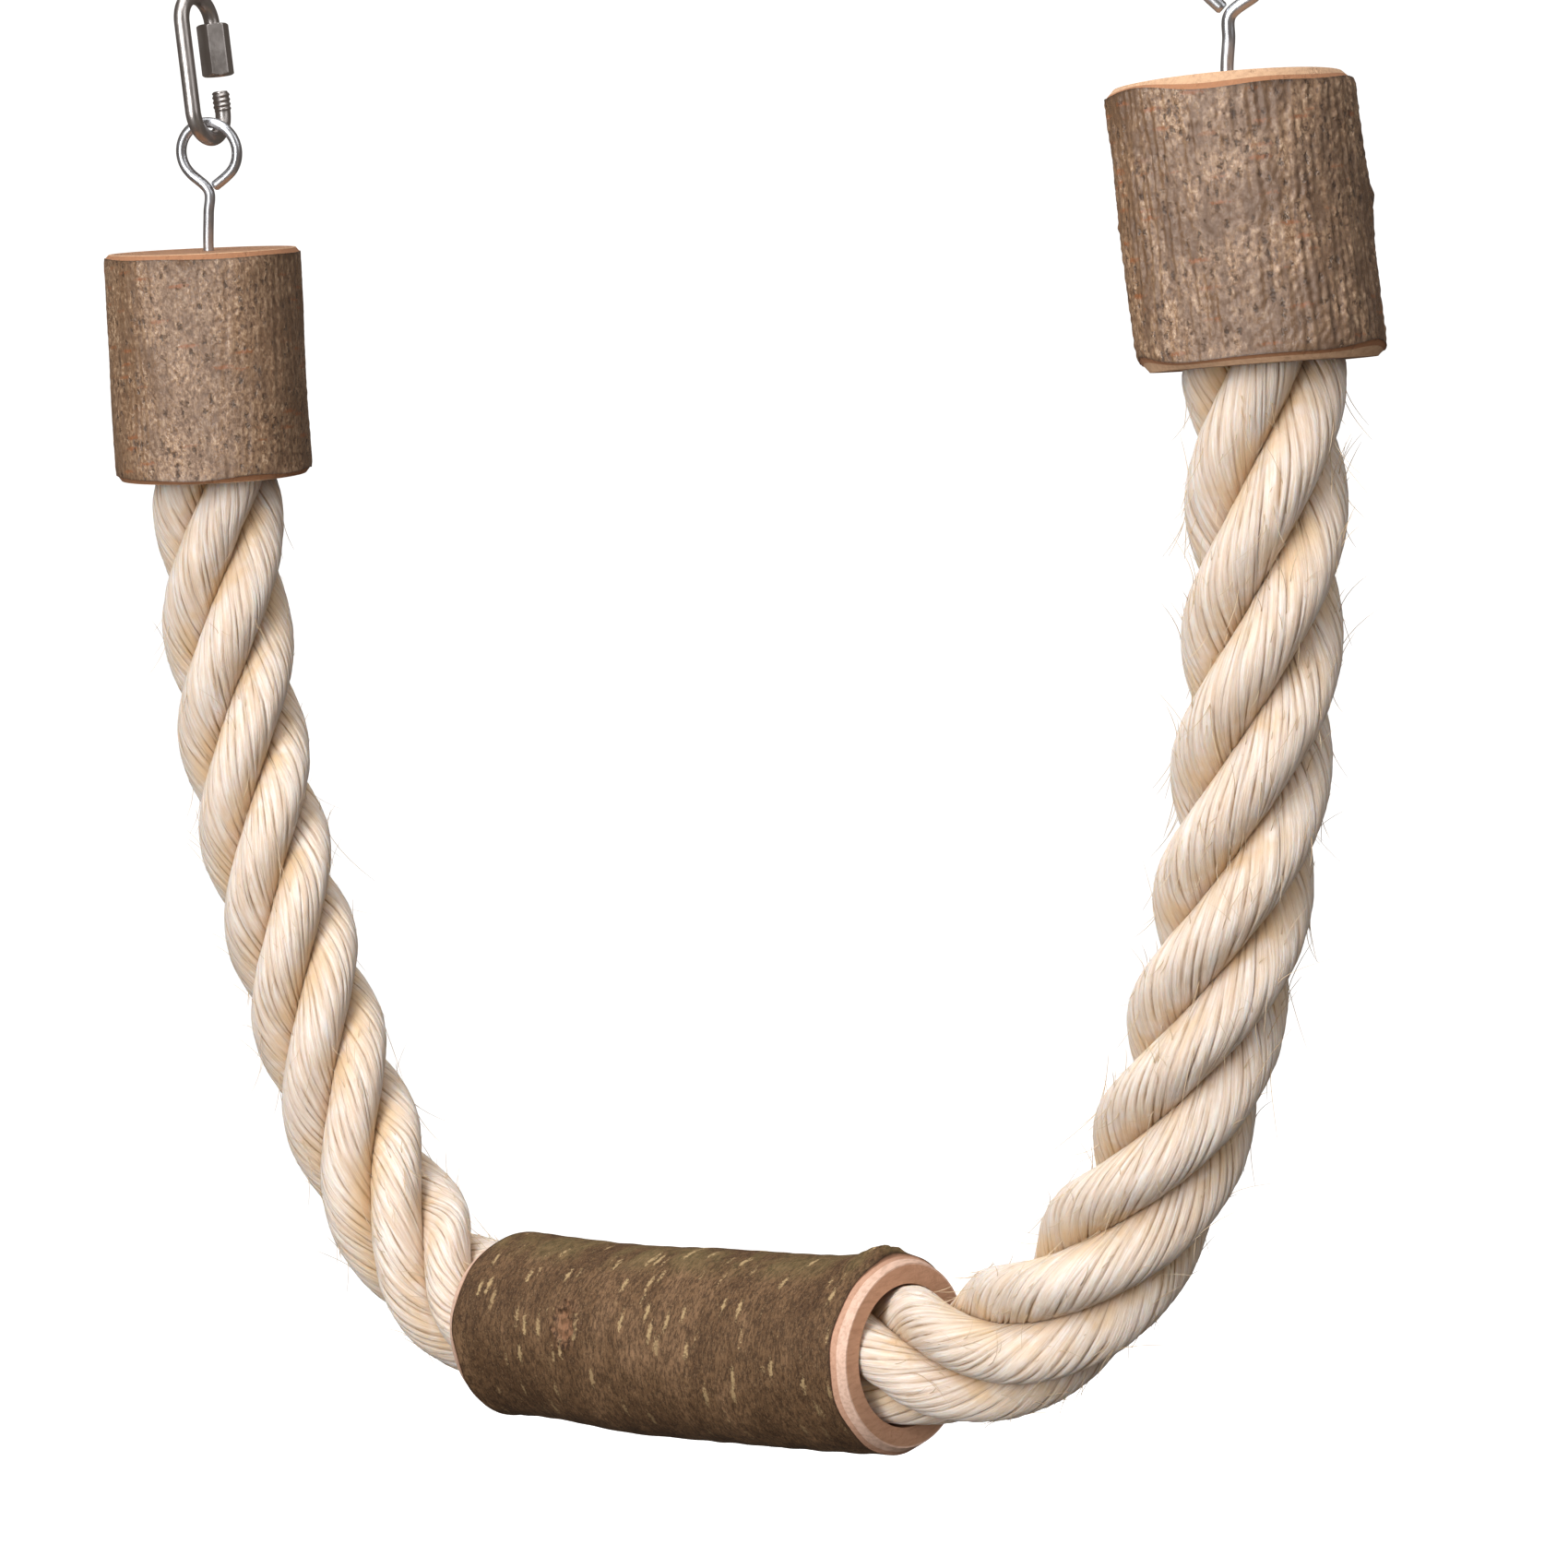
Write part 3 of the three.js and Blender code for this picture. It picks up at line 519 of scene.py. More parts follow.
def loose_fibres():
    """Thin three-sided hairs. Each starts on the rope's surface and curves away from it:
    point(t) = root + length * (t * yarn direction + lift * t^1.5 * outward + curl * t^2 * sideways)."""
    draw = np.random.default_rng(7)
    free = (rope_length - HAIRLESS) * (0.07 + 0.86 * draw.beta(1.5, 1.1, HAIRS))
    root_run = free + HAIRLESS * (free > roller_run - HAIRLESS / 2)
    row = np.searchsorted(rope_run, root_run)
    turn = draw.uniform(0, 2 * np.pi, HAIRS)
    tangent = unit(np.gradient(centre_line, axis=0)[row])
    flat = np.cross(ACROSS_ROPE, tangent)
    outward = np.cos(turn)[:, None] * flat + np.sin(turn)[:, None] * ACROSS_ROPE
    sideways = np.cross(tangent, outward)
    aside = np.mod(turn - lay_turn(rope_run[row]) + np.pi / 4, np.pi / 2) - np.pi / 4
    crown = np.sqrt(strand_radius**2 - (strand_offset * np.sin(aside))**2)
    reach = (strand_offset * np.cos(aside) + crown) * bulge(rope_run[row]) - HAIR_ROOT
    root = centre_line[row] + reach[:, None] * outward
    length = draw.gamma(2.2, 0.0042, HAIRS).clip(*HAIR_LENGTHS)
    off_cap = np.minimum(root_run, rope_length - root_run) - CAP_COVER
    off_roller = np.abs(root_run - roller_run) - ROLLER_LENGTH / 2
    away = np.where(off_cap < off_roller, rope_length / 2 - root_run, root_run - roller_run)
    by_wood = np.minimum(off_cap, off_roller) < WOOD_CLEARANCE
    way = np.where(by_wood, np.sign(away), draw.choice([-1, 1], HAIRS))
    lean = way * draw.uniform(0.5, 1.0, HAIRS)
    lift = draw.beta(1.0, 3.2, HAIRS) * 0.85 + 0.05
    curl = draw.normal(0, 0.35, HAIRS)
    t = np.linspace(0, 1, HAIR_STEPS)[None, :, None]
    spine = root[:, None] + length[:, None, None] * (
        t * lean[:, None, None] * tangent[:, None]
        + lift[:, None, None] * t**1.5 * outward[:, None]
        + curl[:, None, None] * t**2 * sideways[:, None]
    )
    side = full_turn(3)
    thick = HAIR_DIAMETER / 2 * HAIR_TAPER[None, :, None, None]
    round_hair = np.cos(side)[:, None] * sideways[:, None, None] + np.sin(side)[:, None] * outward[:, None, None]
    points = spine[:, :, None] + thick * round_hair
    number = np.arange(HAIRS * HAIR_STEPS * 3).reshape(HAIRS, HAIR_STEPS, 3)
    after = np.roll(number, -1, axis=2)
    quads = np.stack([number[:, :-1], after[:, :-1], after[:, 1:], number[:, 1:]], -1)
    quads = np.where((lean < 0)[:, None, None, None], quads, quads[..., ::-1])
    tips = np.where((lean < 0)[:, None], number[:, -1], number[:, -1, ::-1])
    roots = np.where((lean < 0)[:, None], number[:, 0, ::-1], number[:, 0])
    mesh = bpy.data.meshes.new("loose_fibres")
    faces = quads.reshape(-1, 4).tolist() + tips.tolist() + roots.tolist()
    mesh.from_pydata(points.reshape(-1, 3).tolist(), [], faces)
    mesh.shade_smooth()
    return mesh


pale_fibre = Finish("loose_sisal", Roughness=0.5)
tone = pale_fibre.noise(pale_fibre.place(), 60.0)
pale_fibre.feed("Base Color", pale_fibre.ramp(tone, (0.3, 190, 160, 120), (0.7, 232, 212, 184)))
fuzz = added("loose_fibres", loose_fibres())
fuzz.data.materials.append(pale_fibre.material)
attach(fuzz, "swing")

# Log roller: a bored length of branch with its bark on, loose on the straight stretch of the rope. Both rims are
# pared back to the inner bark and the wood, a knob of a cut twig stands near its right end and a scar on its front.
ROLLER_RADIUS = 0.0286
BORE_RADIUS = 0.0209
ROLLER_CHAMFER = 0.0022
ROLLER_RIM = 0.0038
ROLLER_CUT = 0.05
ROLLER_BOW = 0.0022
ROLLER_DROP = 0.0001
LOG_OVAL = 0.0005
LOG_LOBE = 0.00035
LOBE_PITCH = 0.030
LIP = 0.00035
RELIEF_EASE, RELIEF_AT_RIM = 0.003, 0.35
RIM_SHADE = 0.0004
ROLLER_EDGE, ROLLER_RIND = 0.00035, 0.62
ROLLER_SWELL, ROLLER_RIPPLE = 0.00022, 0.00007
SCAR_TURN, SCAR_HEIGHT = 4.34, 0.0515
SCAR_HALF_WIDTH, SCAR_HALF_HEIGHT, SCAR_RAGGEDNESS = 0.0066, 0.0044, 0.2
SCAR_RING, SCAR_RING_WIDTH, SCAR_SINK = 0.0007, 0.22, 0.0006
KNOB_HEIGHT, KNOB_RISE, KNOB_SPREAD = 0.157, 0.0022, 0.014
TWIG_TURN, TWIG_HEIGHT, TWIG_RISE, TWIG_SPREAD, TWIG_RIPPLE = 3.0, 0.156, 0.0009, 0.0055, 0.0003
HOLLOW_TURN, HOLLOW_HEIGHT, HOLLOW_DEPTH, HOLLOW_SPREAD = -0.4, 0.028, 0.0016, 0.024


def waves(angle, height, seed, count, turns, rises):
    """Sum of seeded cosines cos(n * angle + k * height + phase) with whole n, so that it closes round the log, and
    with unit spread. turns and rises are the largest n and k, and n starts at the first of turns."""
    draw = np.random.default_rng(seed)
    total = 0
    for _ in range(count):
        n, k, phase = draw.integers(turns[0], turns[1] + 1), draw.uniform(-rises, rises), draw.uniform(0, 2 * np.pi)
        total = total + np.cos(n * angle + k * height + phase)
    return total * np.sqrt(2 / count)


def uneven(radius, angle, height):
    """The slightly oval and lobed round of a branch: radius + oval * cos(2 a + 1) + lobe * cos(3 a + height / pitch)
    at the angle a."""
    return radius + LOG_OVAL * np.cos(2 * angle + 1) + LOG_LOBE * np.cos(3 * angle + height / LOBE_PITCH)


def log_outside(angle, bark_rows, length, radius, chamfer, rim, inner, relief, edge, rind_from):
    """Outside of a sawn log along +Z, from its lower bore edge out, up and in to its upper one. Rows: flat end,
    bevel of wood and inner bark, a small lip, the bark with its uneven radius + relief(angle, height), and the same
    above. The bark's rims wander by edge(angle, end). Gives radius, height and the marks bark, rim and layer. rim is
    a painted shade, darkest at the bark's rims. layer is 0 on the flat end, 1/2 on the bevel's wood and 1 on its
    inner bark, from the share rind_from of it on."""
    def end_rows(end):
        flat = np.linspace(0, 1, 7)[:-1, None]
        slope = np.linspace(0, 1, 13)[:, None]
        set_back = rim + edge(angle, end)
        skin_height = set_back if end == 0 else length - set_back
        outer = uneven(radius, angle, skin_height)
        reach = np.vstack([inner + flat * (outer - chamfer - inner), outer - LIP - (chamfer - LIP) * (1 - slope)])
        climb = np.vstack([0 * flat * angle, slope * set_back])
        layer = np.vstack([0 * flat, np.where(slope < rind_from, 0.5, 1)]) + 0 * angle
        return reach, climb, layer, set_back

    low_reach, low_climb, low_layer, low_back = end_rows(0)
    high_reach, high_climb, high_layer, high_back = end_rows(1)
    height = low_back + np.linspace(0, 1, bark_rows)[:, None] * (length - low_back - high_back)
    near_rim = np.minimum(height - low_back, length - high_back - height)
    eased = np.clip(near_rim / RELIEF_EASE + RELIEF_AT_RIM, 0, 1)
    bark_reach = uneven(radius, angle, height) + relief(angle, height) * eased
    reach = np.vstack([low_reach, bark_reach, high_reach[::-1]])
    climb = np.vstack([low_climb, height, length - high_climb[::-1]])
    layer = np.vstack([low_layer, 1 + 0 * bark_reach, high_layer[::-1]])
    bark = np.vstack([0 * low_layer, 1 + 0 * bark_reach, 0 * high_layer])
    # rim: painted shade, darkest at the bark's rims and fading within a few RIM_SHADE widths.
    dark = np.vstack([0 * low_layer, np.exp(-near_rim / RIM_SHADE), 0 * high_layer])
    return reach, climb, {"layer": layer, "bark": bark, "rim": dark}


def scar_distance(angle, height):
    """Distance from the middle of the roller's scar, as a share of its ragged oval edge."""
    ragged = SCAR_RAGGEDNESS * waves(angle, height, 37, 16, (8, 60), 1500)
    aside = (angle - SCAR_TURN) * ROLLER_RADIUS / SCAR_HALF_WIDTH
    return np.hypot(aside, (height - SCAR_HEIGHT) / SCAR_HALF_HEIGHT) + ragged


def roller_relief(angle, height):
    """Bark of the roller: slow swells, fine ripples round it, a knob with a cut twig near its right end, a ringed
    scar in front and a hollow below, near its left end."""
    swell = ROLLER_SWELL * waves(angle, height, 31, 14, (1, 5), 90)
    swell = swell + ROLLER_RIPPLE * waves(angle, height, 32, 40, (3, 26), 700)
    from_knob = np.hypot((angle - np.pi) * ROLLER_RADIUS, height - KNOB_HEIGHT)
    knob = KNOB_RISE * mound(np.sqrt(2) * from_knob / KNOB_SPREAD)
    beside_twig, along_twig = (angle - TWIG_TURN) * ROLLER_RADIUS / TWIG_SPREAD, (height - TWIG_HEIGHT) / TWIG_SPREAD
    twig = mound(np.hypot(beside_twig**2, along_twig**2))
    twig = twig * (TWIG_RISE + TWIG_RIPPLE * waves(angle, height, 36, 24, (8, 44), 1900))
    below = np.clip(np.cos(angle - HOLLOW_TURN), 0, 1)
    hollow = -HOLLOW_DEPTH * mound((height - HOLLOW_HEIGHT) / HOLLOW_SPREAD) * below
    away = scar_distance(angle, height)
    scar = SCAR_RING * mound((away - 1) / SCAR_RING_WIDTH) - SCAR_SINK * mound(np.sqrt(2) * away)
    return swell + knob + twig + scar + hollow


angle = full_turn(360)
reach, climb, marks = log_outside(
    angle, 220, ROLLER_LENGTH, ROLLER_RADIUS, ROLLER_CHAMFER, ROLLER_RIM, BORE_RADIUS,
    roller_relief, lambda a, end: ROLLER_EDGE * waves(a, 0, 33 + end, 10, (1, 9), 0), ROLLER_RIND,
)
bore_climb = np.linspace(ROLLER_LENGTH, 0, 14)[1:-1, None] + 0 * angle
reach = np.vstack([reach, BORE_RADIUS + 0 * bore_climb])
climb = np.vstack([climb, bore_climb])
solid = reach > BORE_RADIUS + 0.0001
sag = ROLLER_BOW * (1 - (2 * climb / ROLLER_LENGTH - 1)**2) * solid
marks = {mark: np.vstack([values, 0 * bore_climb]) for mark, values in marks.items()}
marks["upper"] = -np.cos(angle) + 0 * climb
scar_away = scar_distance(angle, climb)
marks["scar"] = np.exp(-1.4 * scar_away**2) * marks["bark"]
marks["crack"] = mound((scar_away - 0.9) / 0.2) * marks["bark"]

roller_axis = unit(STRAIGHT_END - STRAIGHT_START)
roller_down = np.array([roller_axis[2], 0, -roller_axis[0]])
roller_middle = (STRAIGHT_START + STRAIGHT_END) / 2 - [0, 0, ROLLER_DROP]
roller_grid = (
    roller_middle + (climb - ROLLER_LENGTH / 2 + ROLLER_CUT * reach * np.sin(angle))[..., None] * roller_axis
    + (reach * np.cos(angle) + sag)[..., None] * roller_down + (reach * np.sin(angle))[..., None] * ACROSS_ROPE
)


def wood_end(finish, face, bevel, rind):
    """Sawn wood of an end face, the paler wood of the bevel and the browner inner bark outside it, with saw marks."""
    sawn = finish.noise(finish.place((1, 0.25, 1), (0.6, 0, 0)), 1000.0, 3, 0.6)
    layers = finish.ramp(finish.mark("layer"), (0.2, *face), (0.3, *bevel), (0.7, *bevel), (0.8, *rind))
    return finish.mix(finish.step(sawn, 0.32, 0.6, (0.3, 0)), layers, colour(140, 98, 70))


olive = Finish("olive_bark", Roughness=0.6, Specular_IOR_Level=0.2)
cloud = olive.noise(olive.place((1, 0.5, 0.5)), 60.0, 4, 0.65, 0.3)
grain = olive.noise(olive.place((1.5, 0.6, 0.6)), 700.0, 6, 0.75, 0.2)
speck = olive.noise(olive.place((1.2, 0.8, 0.8)), 2000.0, 3, 0.7)
dash = olive.flecks(olive.place(), olive.place((1.0, 0.28, 0.28), (0, 0.2, 0)), 330.0, 0.35, 0.2)
upper = olive.mark("upper")
olive.tint = olive.ramp(cloud, (0.3, 80, 57, 38), (0.5, 110, 83, 58), (0.7, 138, 107, 79))
olive.stain(olive.step(grain, 0.40, 0.60, (0.75, 0)), 46, 31, 20)
olive.stain(olive.step(speck, 0.52, 0.72, (0, 0.4)), 164, 136, 104)
green = olive.times(olive.step(upper, 0.85, 1.0), olive.step(cloud, 0.40, 0.60))
olive.stain(olive.times(green, 0.35), 102, 96, 58)
pale = olive.times(dash, olive.step(upper, -0.7, 0.3, (0.35, 0.85)))
olive.stain(pale, 178, 152, 112)
scarred = olive.times(olive.mark("scar"), olive.step(grain, 0.36, 0.60, (0.2, 0.9)))
olive.stain(scarred, 152, 110, 82)
crack = olive.times(olive.mark("crack"), olive.step(grain, 0.42, 0.58, (0.85, 0.1)))
olive.stain(crack, 44, 28, 19)
# Painted shade: a dark line along the bark's rims.
olive.stain(olive.times(olive.mark("rim"), 0.8), 46, 32, 22)
wood_tint = wood_end(olive, (194, 150, 122), (220, 186, 166), (194, 152, 128))
olive.feed("Base Color", olive.mix(olive.mark("bark"), wood_tint, olive.tint))
olive.bump(grain, 0.0006, 0.7)

roller = skin("bark_roller", roller_grid, olive.material, wrap=(True, True), marks=marks, crease=40)
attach(roller, "roller")
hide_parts("log_roller")

# Rope tapes: a binding of thin tape wound twice round each cut end of the rope, inside the caps, to keep it laid.
# Each end of the swing has its own frame, with its origin in the middle of the cap's top and its Z along the rope.
ROPE_END_DEPTH = 0.024
SEAT_GAP = 0.0003
TAPE_THICKNESS = 0.0006
TAPE_WIDTH = 0.018
TAPE_STEP = 0.0006
HANGER_SPACING = 0.398


def cap_place(rope_end, below):
    """Places points of a cap's own frame: origin on the cap's top, Z along the rope's end, Y the swing's own."""
    cap_up = unit(rope_end - below)
    origin = rope_end + ROPE_END_DEPTH * cap_up
    axes = np.stack([[cap_up[2], 0, -cap_up[0]], [0, 1, 0], cap_up])
    return lambda local: origin + local @ axes


ENDS = {
    "left": dict(
        hanger=0.0, bolt=0.0032, cut=(0.005, 0.005), yaw=28, seed=50, knot=None, tilt=(0, -0.0993, 0),
        pared=0.0015, wander=0.00025, rind_from=0.15, rough=0.8, stain=1.0, face=(152, 110, 78),
        place=cap_place(ROUTE[0], ROUTE[1]),
    ),
    "right": dict(
        hanger=HANGER_SPACING, bolt=0.0, cut=(-0.05, -0.04), yaw=208, seed=70, knot=(0.78, 0.0415),
        tilt=(0, 0.0363, 0), pared=0.0025, wander=0.0006, rind_from=0.6, rough=2.0, stain=1.55, face=(170, 130, 98),
        place=cap_place(ROUTE[-1], ROUTE[-2]),
    ),
}


def about_z(radius, turn, height):
    """Points at a radius, turn and height about Z."""
    flat = polar(radius, turn)
    return np.concatenate([flat, np.broadcast_to(height, flat.shape[:-1])[..., None]], -1)


def turned(profile, columns):
    """Surface of revolution about Z from (radius, height) corners, listed so that the solid is on the left."""
    radius, height = np.array(profile).T[..., None]
    return about_z(radius, full_turn(columns), height)


film = Finish("binding_tape", Roughness=0.4)
weave = film.noise(film.place((1, 1, 0.1)), 900.0, 3)
film.feed("Base Color", film.ramp(weave, (0.3, 176, 150, 108), (0.7, 210, 188, 146)))
film.bump(weave, 0.0001, 0.4)

inner = ROPE_DIAMETER / 2 + SEAT_GAP
wound = inner + TAPE_THICKNESS / 2
outer = inner + TAPE_THICKNESS
top, low = -ROPE_END_DEPTH, -ROPE_END_DEPTH - TAPE_WIDTH
profile = [(inner, top), (inner, low), (wound, low), (wound, low + TAPE_STEP), (outer, low + 2 * TAPE_STEP)]
profile += [(outer, top - 2 * TAPE_STEP), (wound, top - TAPE_STEP), (wound, top)]
band = turned(profile, 64)
for side, end in ENDS.items():
    tape = skin(f"{side}_tape_binding", end["place"](band), film.material, wrap=(True, True), crease=40)
    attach(tape, "swing")
    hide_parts(f"{side}_rope_tape")

# Log caps: two short lengths of hazel branch with the bark on, bored from below for the rope and from above for the
# eye bolt. The rims are pared, so inner bark and pale wood show, and the right one is sawn askew and has a knot.
CAP_HEIGHT = 0.073
CAP_ROOF = 0.014
CAP_RADIUS = 0.032
CAP_COLUMNS = 400
SOCKET_RADIUS = 0.0212
WIRE_HOLE = 0.0021
SCREW_RECESS = 0.0015
SCREW_HEAD = 0.004
SCREW_ROOM = 0.0005
SINK_DEPTH, SINK_EDGE = 0.0028, 0.0004
CAP_SWELL, CAP_RIDGE, CAP_FINE = 0.00030, 0.00008, 0.00005
KNOT_HALF_WIDTH, KNOT_HALF_HEIGHT = 0.0075, 0.0095
KNOT_RISE, KNOT_RIPPLE, KNOT_RINGS = 0.0017, 0.0005, 5
WOOD_ROUGHNESS = 0.85


def cap_relief(seed, knot, rough):
    """Hazel bark: slow swells, upright ridges and furrows, small pits, and a low branch knot where there is one."""
    def at(angle, height):
        swell = CAP_SWELL * waves(angle, height, seed, 12, (1, 6), 110)
        ridge = CAP_RIDGE * waves(angle, height, seed + 1, 46, (14, 90), 260)
        fine = CAP_FINE * waves(angle, height, seed + 2, 60, (12, 110), 2600)
        bark = swell + rough * (ridge + fine)
        if knot is not None:
            turn, middle = knot
            away = np.hypot((angle - turn) * CAP_RADIUS / KNOT_HALF_WIDTH, (height - middle) / KNOT_HALF_HEIGHT)
            bark = bark + (KNOT_RISE + KNOT_RIPPLE * np.cos(KNOT_RINGS * away)) * mound(away)
        from_screw = np.hypot((angle - np.pi / 2) * CAP_RADIUS, height - (CAP_HEIGHT - ROPE_END_DEPTH - SCREW_DROP))
        countersink = np.clip((SCREW_HEAD + SCREW_ROOM - from_screw) / SINK_EDGE, 0, 1)
        return bark * (1 - countersink) - (SCREW_RECESS + SINK_DEPTH) * countersink
    return at


def bark_finish(name, tilt, seed, stain, face):
    """Grey-brown hazel bark: grains and upright streaks, dark pits, reddish dashes across, pared rims, and a painted
    shade along the bark's rims. A greater stain makes its dark blots and streaks stronger."""
    made = Finish(name, Specular_IOR_Level=0.9)
    shift = 0.37 * seed

    def spot(scale):
        return made.node("VectorMath", {0: made.place(scale, tilt), 1: (shift, shift, shift)}, operation="ADD")

    blot = made.noise(spot((1, 1, 0.7)), 70.0, 4, 0.65, 0.3)
    streak = made.noise(spot((1, 1, 0.2)), 330.0, 4, 0.65, 0.15)
    grain = made.noise(spot((1, 1, 0.7)), 800.0, 6, 0.78)
    made.tint = made.ramp(grain, (0.37, 78, 54, 36), (0.46, 128, 98, 73), (0.54, 158, 127, 99), (0.63, 196, 168, 140))
    made.stain(made.step(blot, 0.36, 0.62, (0.6 * stain, 0)), 106, 79, 57)
    made.stain(made.step(streak, 0.34, 0.56, (0.4 * stain, 0)), 92, 68, 50)
    dashes = made.flecks(spot((1, 1, 1)), spot((0.30, 0.30, 1.6)), 300.0, 0.24, 0.25)
    made.stain(made.times(dashes, 0.85), 140, 88, 54)
    pit = made.flecks(spot((1, 1, 1)), spot((1, 1, 0.6)), 520.0, 0.28, 0.3)
    made.stain(made.times(pit, 0.8), 54, 36, 24)
    # Painted shade: a dark line along the bark's rims.
    made.stain(made.times(made.mark("rim"), 0.7), 60, 42, 28)
    wood = wood_end(made, face, (196, 158, 124), (156, 106, 70))
    made.feed("Base Color", made.mix(made.mark("bark"), wood, made.tint))
    smooth = made.step(made.math("ADD", streak, grain), 0.84, 1.14, (WOOD_ROUGHNESS - 0.52, WOOD_ROUGHNESS - 0.22))
    made.feed("Roughness", made.math("SUBTRACT", WOOD_ROUGHNESS, made.times(made.mark("bark"), smooth)))
    height = made.math("ADD", made.times(streak, 0.6), made.math("SUBTRACT", grain, pit))
    made.bump(height, 0.0007, 0.5)
    return made.material


for side, end in ENDS.items():
    angle = full_turn(CAP_COLUMNS)
    reach, climb, marks = log_outside(
        angle, 128, CAP_HEIGHT, CAP_RADIUS, end["pared"], end["pared"], SOCKET_RADIUS,
        cap_relief(end["seed"], end["knot"], end["rough"]),
        lambda a, rim: end["wander"] * waves(a, 0, end["seed"] + 5 + rim, 9, (1, 7), 0), end["rind_from"],
    )
    lean = polar(reach, angle) @ end["cut"]
    outside = about_z(reach, angle, climb - CAP_HEIGHT + lean)
    round_hole = about_z(WIRE_HOLE, angle, 0) + [end["bolt"], 0, 0]
    roof_hole = round_hole - [0, 0, CAP_ROOF]
    roof_edge = about_z(SOCKET_RADIUS, angle, -CAP_ROOF)
    over = np.linspace(outside[-1], round_hole, 8)[1:-1]
    hole = np.linspace(round_hole, roof_hole, 5)
    under = np.linspace(roof_hole, roof_edge, 6)[1:-1]
    socket = np.linspace(roof_edge, outside[0], 10)[:-1]
    grid = np.concatenate([outside, over, hole, under, socket])
    bare = np.zeros((len(grid) - len(outside), CAP_COLUMNS))
    marks = {mark: np.vstack([values, bare]) for mark, values in marks.items()}
    finish = bark_finish(f"{side}_hazel_bark", end["tilt"], end["seed"], end["stain"], end["face"])
    cap = skin(f"{side}_bark_cap", end["place"](grid), finish, wrap=(True, True), marks=marks, crease=50)
    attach(cap, "swing")
    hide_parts(f"{side}_log_cap")

# Rope screws: a stainless countersunk wood screw with a cross recess in its head. One is driven through the back of
# each cap into the rope, and keeps the rope in its socket.
SCREW_DIAMETER = 0.004
SCREW_HEAD_HEIGHT = 0.0026
SCREW_REACH = 0.0215
SCREW_PITCH = 0.0018
SCREW_CORE = 0.72
SCREW_POINT = 0.004
SCREW_PLAIN = 0.006
HEAD_EDGE = 0.0002
CROSS_WIDTH, CROSS_REACH, CROSS_DEPTH = 0.00065, 0.0024, 0.0022


def brushed(name, base, rough, scale):
    """Metal with fine scratches: its roughness and relief follow a stretched noise."""
    made = Finish(name, Metallic=1.0)
    scratch = made.noise(made.place((1, 1, 0.15)), scale, 4, 0.7)
    haze = made.noise(made.place(), 180.0, 3, 0.6)
    made.feed("Roughness", made.step(haze, 0.3, 0.7, (rough - 0.06, rough + 0.08)))
    darker = tuple(0.82 * level for level in base[:3]) + (1,)
    made.feed("Base Color", made.mix(scratch, darker, base))
    made.bump(scratch, 0.00003, 0.25)
    return made.material


def countersunk():
    """A screw along -Z, head up: cross recess in the head's rings, cone, then a thread r = core + crest * ridge."""
    turn = full_turn(72)
    head_radius = SCREW_HEAD * np.linspace(1, 0.02, 14)[:, None]
    arm = np.abs(polar(head_radius, turn)).min(-1) < CROSS_WIDTH
    deep = np.clip(1.15 - head_radius / CROSS_REACH, 0, 1)
    head = about_z(head_radius, turn, -CROSS_DEPTH * deep * arm)
    thread = np.linspace(SCREW_POINT, SCREW_REACH - SCREW_PLAIN, 90)
    height = np.concatenate([[0, 0.75 * SCREW_POINT], thread])[:, None] - SCREW_REACH
    taper = np.clip((height + SCREW_REACH) / SCREW_POINT, 0.05, 1)
    ridge = np.abs(np.mod(height / SCREW_PITCH - turn / (2 * np.pi), 1) - 0.5) * 2
    radius = taper * SCREW_DIAMETER / 2 * (SCREW_CORE + (1 - SCREW_CORE) * ridge**3)
    shank = about_z(radius, turn, height)
    cone = turned([(SCREW_DIAMETER / 2, -SCREW_HEAD_HEIGHT), (SCREW_HEAD, -HEAD_EDGE)], len(turn))
    return np.concatenate([shank, cone, head])


stainless = brushed("stainless_steel", (0.60, 0.56, 0.54, 1), 0.36, 1500.0)
upright = countersunk()
lying = np.stack([upright[..., 0], upright[..., 2], -upright[..., 1]], -1)
lying = lying + [0, CAP_RADIUS - SCREW_RECESS, -ROPE_END_DEPTH - SCREW_DROP]
for side, end in ENDS.items():
    screw = skin(f"{side}_wood_screw", end["place"](lying), stainless, fans=(0, -1), crease=35)
    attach(screw, "swing")
    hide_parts(f"{side}_rope_screw")

# Eye bolts: zinc-plated wire bent to a pear-shaped eye whose cut end butts at the neck. The shank goes down through
# the cap's roof, where a washer and a lock nut hold it. The plain washers are the CAD model's own, in zinc.
EYE_WIRE = 0.0036
EYE_WIDTH = 0.0225
EYE_HEIGHT = 0.0237
EYE_TOP = -0.0375
EYE_END_GAP = 0.0006
EYE_ROOM = 0.0001
SHANK_STRAIGHT = 0.0015
BOLT_TIP_DEPTH = 0.022
LOCK_NUT_SEAT = 0.0156
LOCK_NUT_HEIGHT = 0.0044
LOCK_NUT_FLATS = 0.007
NUT_CORNER = 0.985
NUT_FACE, NUT_SLOPE = 0.97, 1.7
NUT_MOUTH = 0.0004
WIRE_END = 0.8
EYE_STEPS = 190


